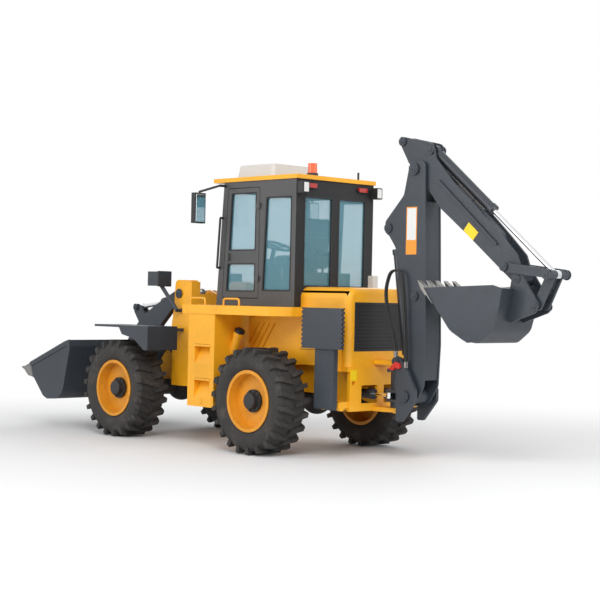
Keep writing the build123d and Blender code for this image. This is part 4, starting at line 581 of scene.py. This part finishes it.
# Stick plate: a tilted bare yellow plate
for side_name, side in (("left", 1), ("right", -1)):
    face = sorted((side * 0.0845, side * 0.0865))
    plate = [(-0.080, 0.080, *face, -0.052, 0.052)]
    made = boxes(side_name + " stick plate", plate, label_yellow, "stick")
    tilt = Matrix.Rotation(math.radians(-40), 4, "Y")
    made.data.transform(Matrix.Translation((-2.215, 0, 2.375)) @ tilt)

# Rigid pipes beside the barrels, with clamps
pipe_stand_off = 0.022


def barrel_pipes(name, body, base, eye, length, radius):
    """A rigid pipe along a barrel from its base port to its gland port, on one side in the X-Z plane."""
    start, finish = Vector(base), Vector(eye)
    way = (finish - start).normalized()
    outward = way.cross(Vector((0, 1, 0))).normalized()
    stand = radius + pipe_stand_off
    low, high = start + way * 0.14, start + way * (length - 0.075)
    route = [
        low + outward * (radius * 0.8), low + outward * stand,
        high + outward * stand, high + outward * (radius * 0.8),
    ]
    pipe(name + " pipe", route, 0.009, steel, body, 0.02)
    spans = []
    for place in (0.25, 0.75):
        middle = low + (high - low) * place
        spans.append((middle + outward * (radius * 0.9), middle + outward * (stand + 0.012), 0.010))
    for place in (low, high):
        spans.append((place + outward * (radius * 0.7), place + outward * (stand - 0.004), 0.016))
    rods(name + " pipe clamps", spans, cylinder_grey, body, 16)


# Columns: name, body, base pin, rod eye, barrel length, barrel radius
cylinders = (
    ("boom cylinder", "boom_barrel", (-1.340, 0, 1.040), (-1.140, 0, 2.429), 1.18, 0.055),
    ("stick cylinder", "stick_barrel", (-1.524, 0, 1.722), (-1.285, 0, 3.328), 0.96, 0.052),
    ("bucket cylinder", "bucket_barrel", (-1.665, 0, 3.219), (-3.200, 0, 1.950), 1.0, 0.048),
    ("tilt cylinder", "tilt_barrel", (1.850, 0, 1.700), (3.250, 0, 1.517), 0.905, 0.055),
)
for name, body, base, eye, length, radius in cylinders:
    barrel_pipes(name, body, base, eye, length, radius)

# Two hoses that arch beside the boom cylinder, from the swing post's front edge to its rear edge
hose_radius = 0.0115
for number, hose_y in enumerate((0.1605, 0.1845)):
    route = [
        (-1.3300, hose_y, 1.090), (-1.3050, hose_y, 1.260), (-1.1950, hose_y, 1.540),
        (-1.1600, hose_y, 1.790), (-1.2300, hose_y, 1.985), (-1.3850, hose_y, 1.985),
        (-1.4250, hose_y, 1.700), (-1.4520, hose_y, 1.370), (-1.4700, hose_y, 0.985),
    ]
    pipe("boom hose %d" % (number + 1), route, hose_radius, rubber, "swing_post", 0.2)
    ends = []
    for end, following in ((route[0], route[1]), (route[-1], route[-2])):
        end = Vector(end)
        way = (Vector(following) - end).normalized()
        ends.append((end - way * 0.004, end + way * 0.060, hose_radius * 1.25))
    rods("boom hose %d ferrules" % (number + 1), ends, steel, "swing_post", 16)

# Hood: panel seams and latches
seam = 0.0025
for side_name, side in (("left", 1), ("right", -1)):
    face = sorted((side * 0.499, side * (0.500 + seam)))
    spans = [
        (-0.880, -0.235, *face, 1.128, 1.133),
        (-0.600, -0.595, *face, 1.133, 1.480),
    ]
    boxes(side_name + " hood seams", spans, plastic, "rear_unit")
    latch = sorted((side * 0.499, side * 0.512))
    boxes(side_name + " hood latches", [(-0.700, -0.640, *latch, 1.180, 1.215)], plastic, "rear_unit", 0.004)

# Small pale box on the hood behind the cab
boxes("hood box", [(-0.430, -0.350, -0.490, -0.410, 1.800, 1.940)], pale, "rear_unit", 0.006)

# Bare yellow plates on the rear frame
boxes("rear left plate", [(-0.9635, -0.9595, 0.372, 0.462, 0.830, 0.935)], label_yellow, "rear_unit")
boxes("rear right plate", [(-0.9635, -0.9595, -0.462, -0.372, 0.830, 0.920)], label_yellow, "rear_unit")

# Black grip strips on the steps, the tanks' plugs and the decks' edge strips
for side_name, side in (("left", 1), ("right", -1)):
    for number, step_z in enumerate((1.120, 0.745)):
        tread = sorted((side * 0.965, side * 1.006))
        spans = [
            (0.680 + 0.032 * k, 0.694 + 0.032 * k, *tread, step_z + 0.021, step_z + 0.026)
            for k in range(8)
        ]
        boxes(side_name + " step grips %d" % (number + 1), spans, plastic, "rear_unit")
    plug = [((0.82, side * 0.999, 0.52), (0.82, side * 1.006, 0.52), 0.034)]
    rods(side_name + " tank plug", plug, yellow, "rear_unit")
    edge = sorted((side * 1.004, side * 1.0105))
    boxes(side_name + " deck edge strip", [(-0.255, 1.140, *edge, 1.496, 1.560)], yellow, "rear_unit", 0.002)


# Seat: cushion and back as padded forms, swollen by cloth simulation, with sewn seams
def padded_form(name, corners, half_width):
    """A crowned form from a side outline of (x, z) corners, swollen by pressure up to a largest swell."""
    voxel = 0.009
    largest_swell = 0.014
    swell_frames = 20
    shape = bmesh.new()
    ends = []
    for y in (-half_width, half_width):
        ends.append([shape.verts.new((x, y, z)) for x, z in corners])
    shape.faces.new(ends[0])
    shape.faces.new(list(reversed(ends[1])))
    for index in range(len(corners)):
        following = (index + 1) % len(corners)
        shape.faces.new((ends[0][index], ends[0][following], ends[1][following], ends[1][index]))
    bmesh.ops.recalc_face_normals(shape, faces=shape.faces)
    bmesh.ops.bevel(shape, geom=list(shape.edges), offset=0.022, segments=3, affect="EDGES", profile=0.5)
    mesh = bpy.data.meshes.new(name)
    shape.to_mesh(mesh)
    shape.free()
    made = bpy.data.objects.new(name.replace(" ", "_"), mesh)
    bpy.context.scene.collection.objects.link(made)
    bpy.context.view_layer.objects.active = made
    made.select_set(True)
    remesh = made.modifiers.new("even", "REMESH")
    remesh.mode = "VOXEL"
    remesh.voxel_size = voxel
    bpy.ops.object.modifier_apply(modifier=remesh.name)
    start = [vertex.co.copy() for vertex in made.data.vertices]
    cloth = made.modifiers.new("swell", "CLOTH")
    cloth.settings.use_pressure = True
    cloth.settings.uniform_pressure_force = 4.0
    cloth.settings.effector_weights.gravity = 0.0
    scene = bpy.context.scene
    cloth.point_cache.frame_end = swell_frames
    for step in range(1, swell_frames + 1):
        scene.frame_set(step)
    swollen = made.evaluated_get(bpy.context.evaluated_depsgraph_get()).to_mesh()
    moved = [vertex.co.copy() for vertex in swollen.vertices]
    made.evaluated_get(bpy.context.evaluated_depsgraph_get()).to_mesh_clear()
    made.modifiers.remove(cloth)
    scene.frame_set(1)
    for vertex, before, after in zip(made.data.vertices, start, moved):
        shift = after - before
        if shift.length > largest_swell:
            shift = shift.normalized() * largest_swell
        vertex.co = before + shift
    made.select_set(False)
    return made


def sew(made, lines, depth, reach):
    """Presses sewn seams: each line (axis, place) pulls near points inwards."""
    mesh = made.data
    normals = [vertex.normal.copy() for vertex in mesh.vertices]
    for vertex, normal in zip(mesh.vertices, normals):
        pull = sum(math.exp(-((vertex.co[axis] - place) / reach) ** 2) for axis, place in lines)
        vertex.co -= normal * depth * min(pull, 1.0)


cushion_corners = ((0.120, 2.030), (0.120, 2.130), (0.300, 2.140), (0.545, 2.135), (0.545, 2.030))
back_corners = (
    (0.075, 2.150), (0.045, 2.350), (0.030, 2.550), (0.110, 2.585), (0.150, 2.380), (0.180, 2.190),
)
seam_depth = 0.007
seam_reach = 0.008
cushion = padded_form("seat cushion", cushion_corners, 0.222)
back = padded_form("seat back", back_corners, 0.215)
sew(cushion, ((1, -0.150), (1, 0.150), (0, 0.330)), seam_depth, seam_reach)
sew(back, ((1, -0.150), (1, 0.150), (2, 2.360)), seam_depth, seam_reach)
for made in (cushion, back):
    made.data.materials.clear()
    made.data.materials.append(vinyl)
    for face in made.data.polygons:
        face.use_smooth = True
    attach(made, "rear_unit")
base_spans = [(0.100, 0.540, -0.200, 0.200, 2.0105, 2.032), (0.060, 0.130, -0.190, 0.190, 2.030, 2.160)]
boxes("seat base", base_spans, plastic, "rear_unit", 0.006)
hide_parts("seat")
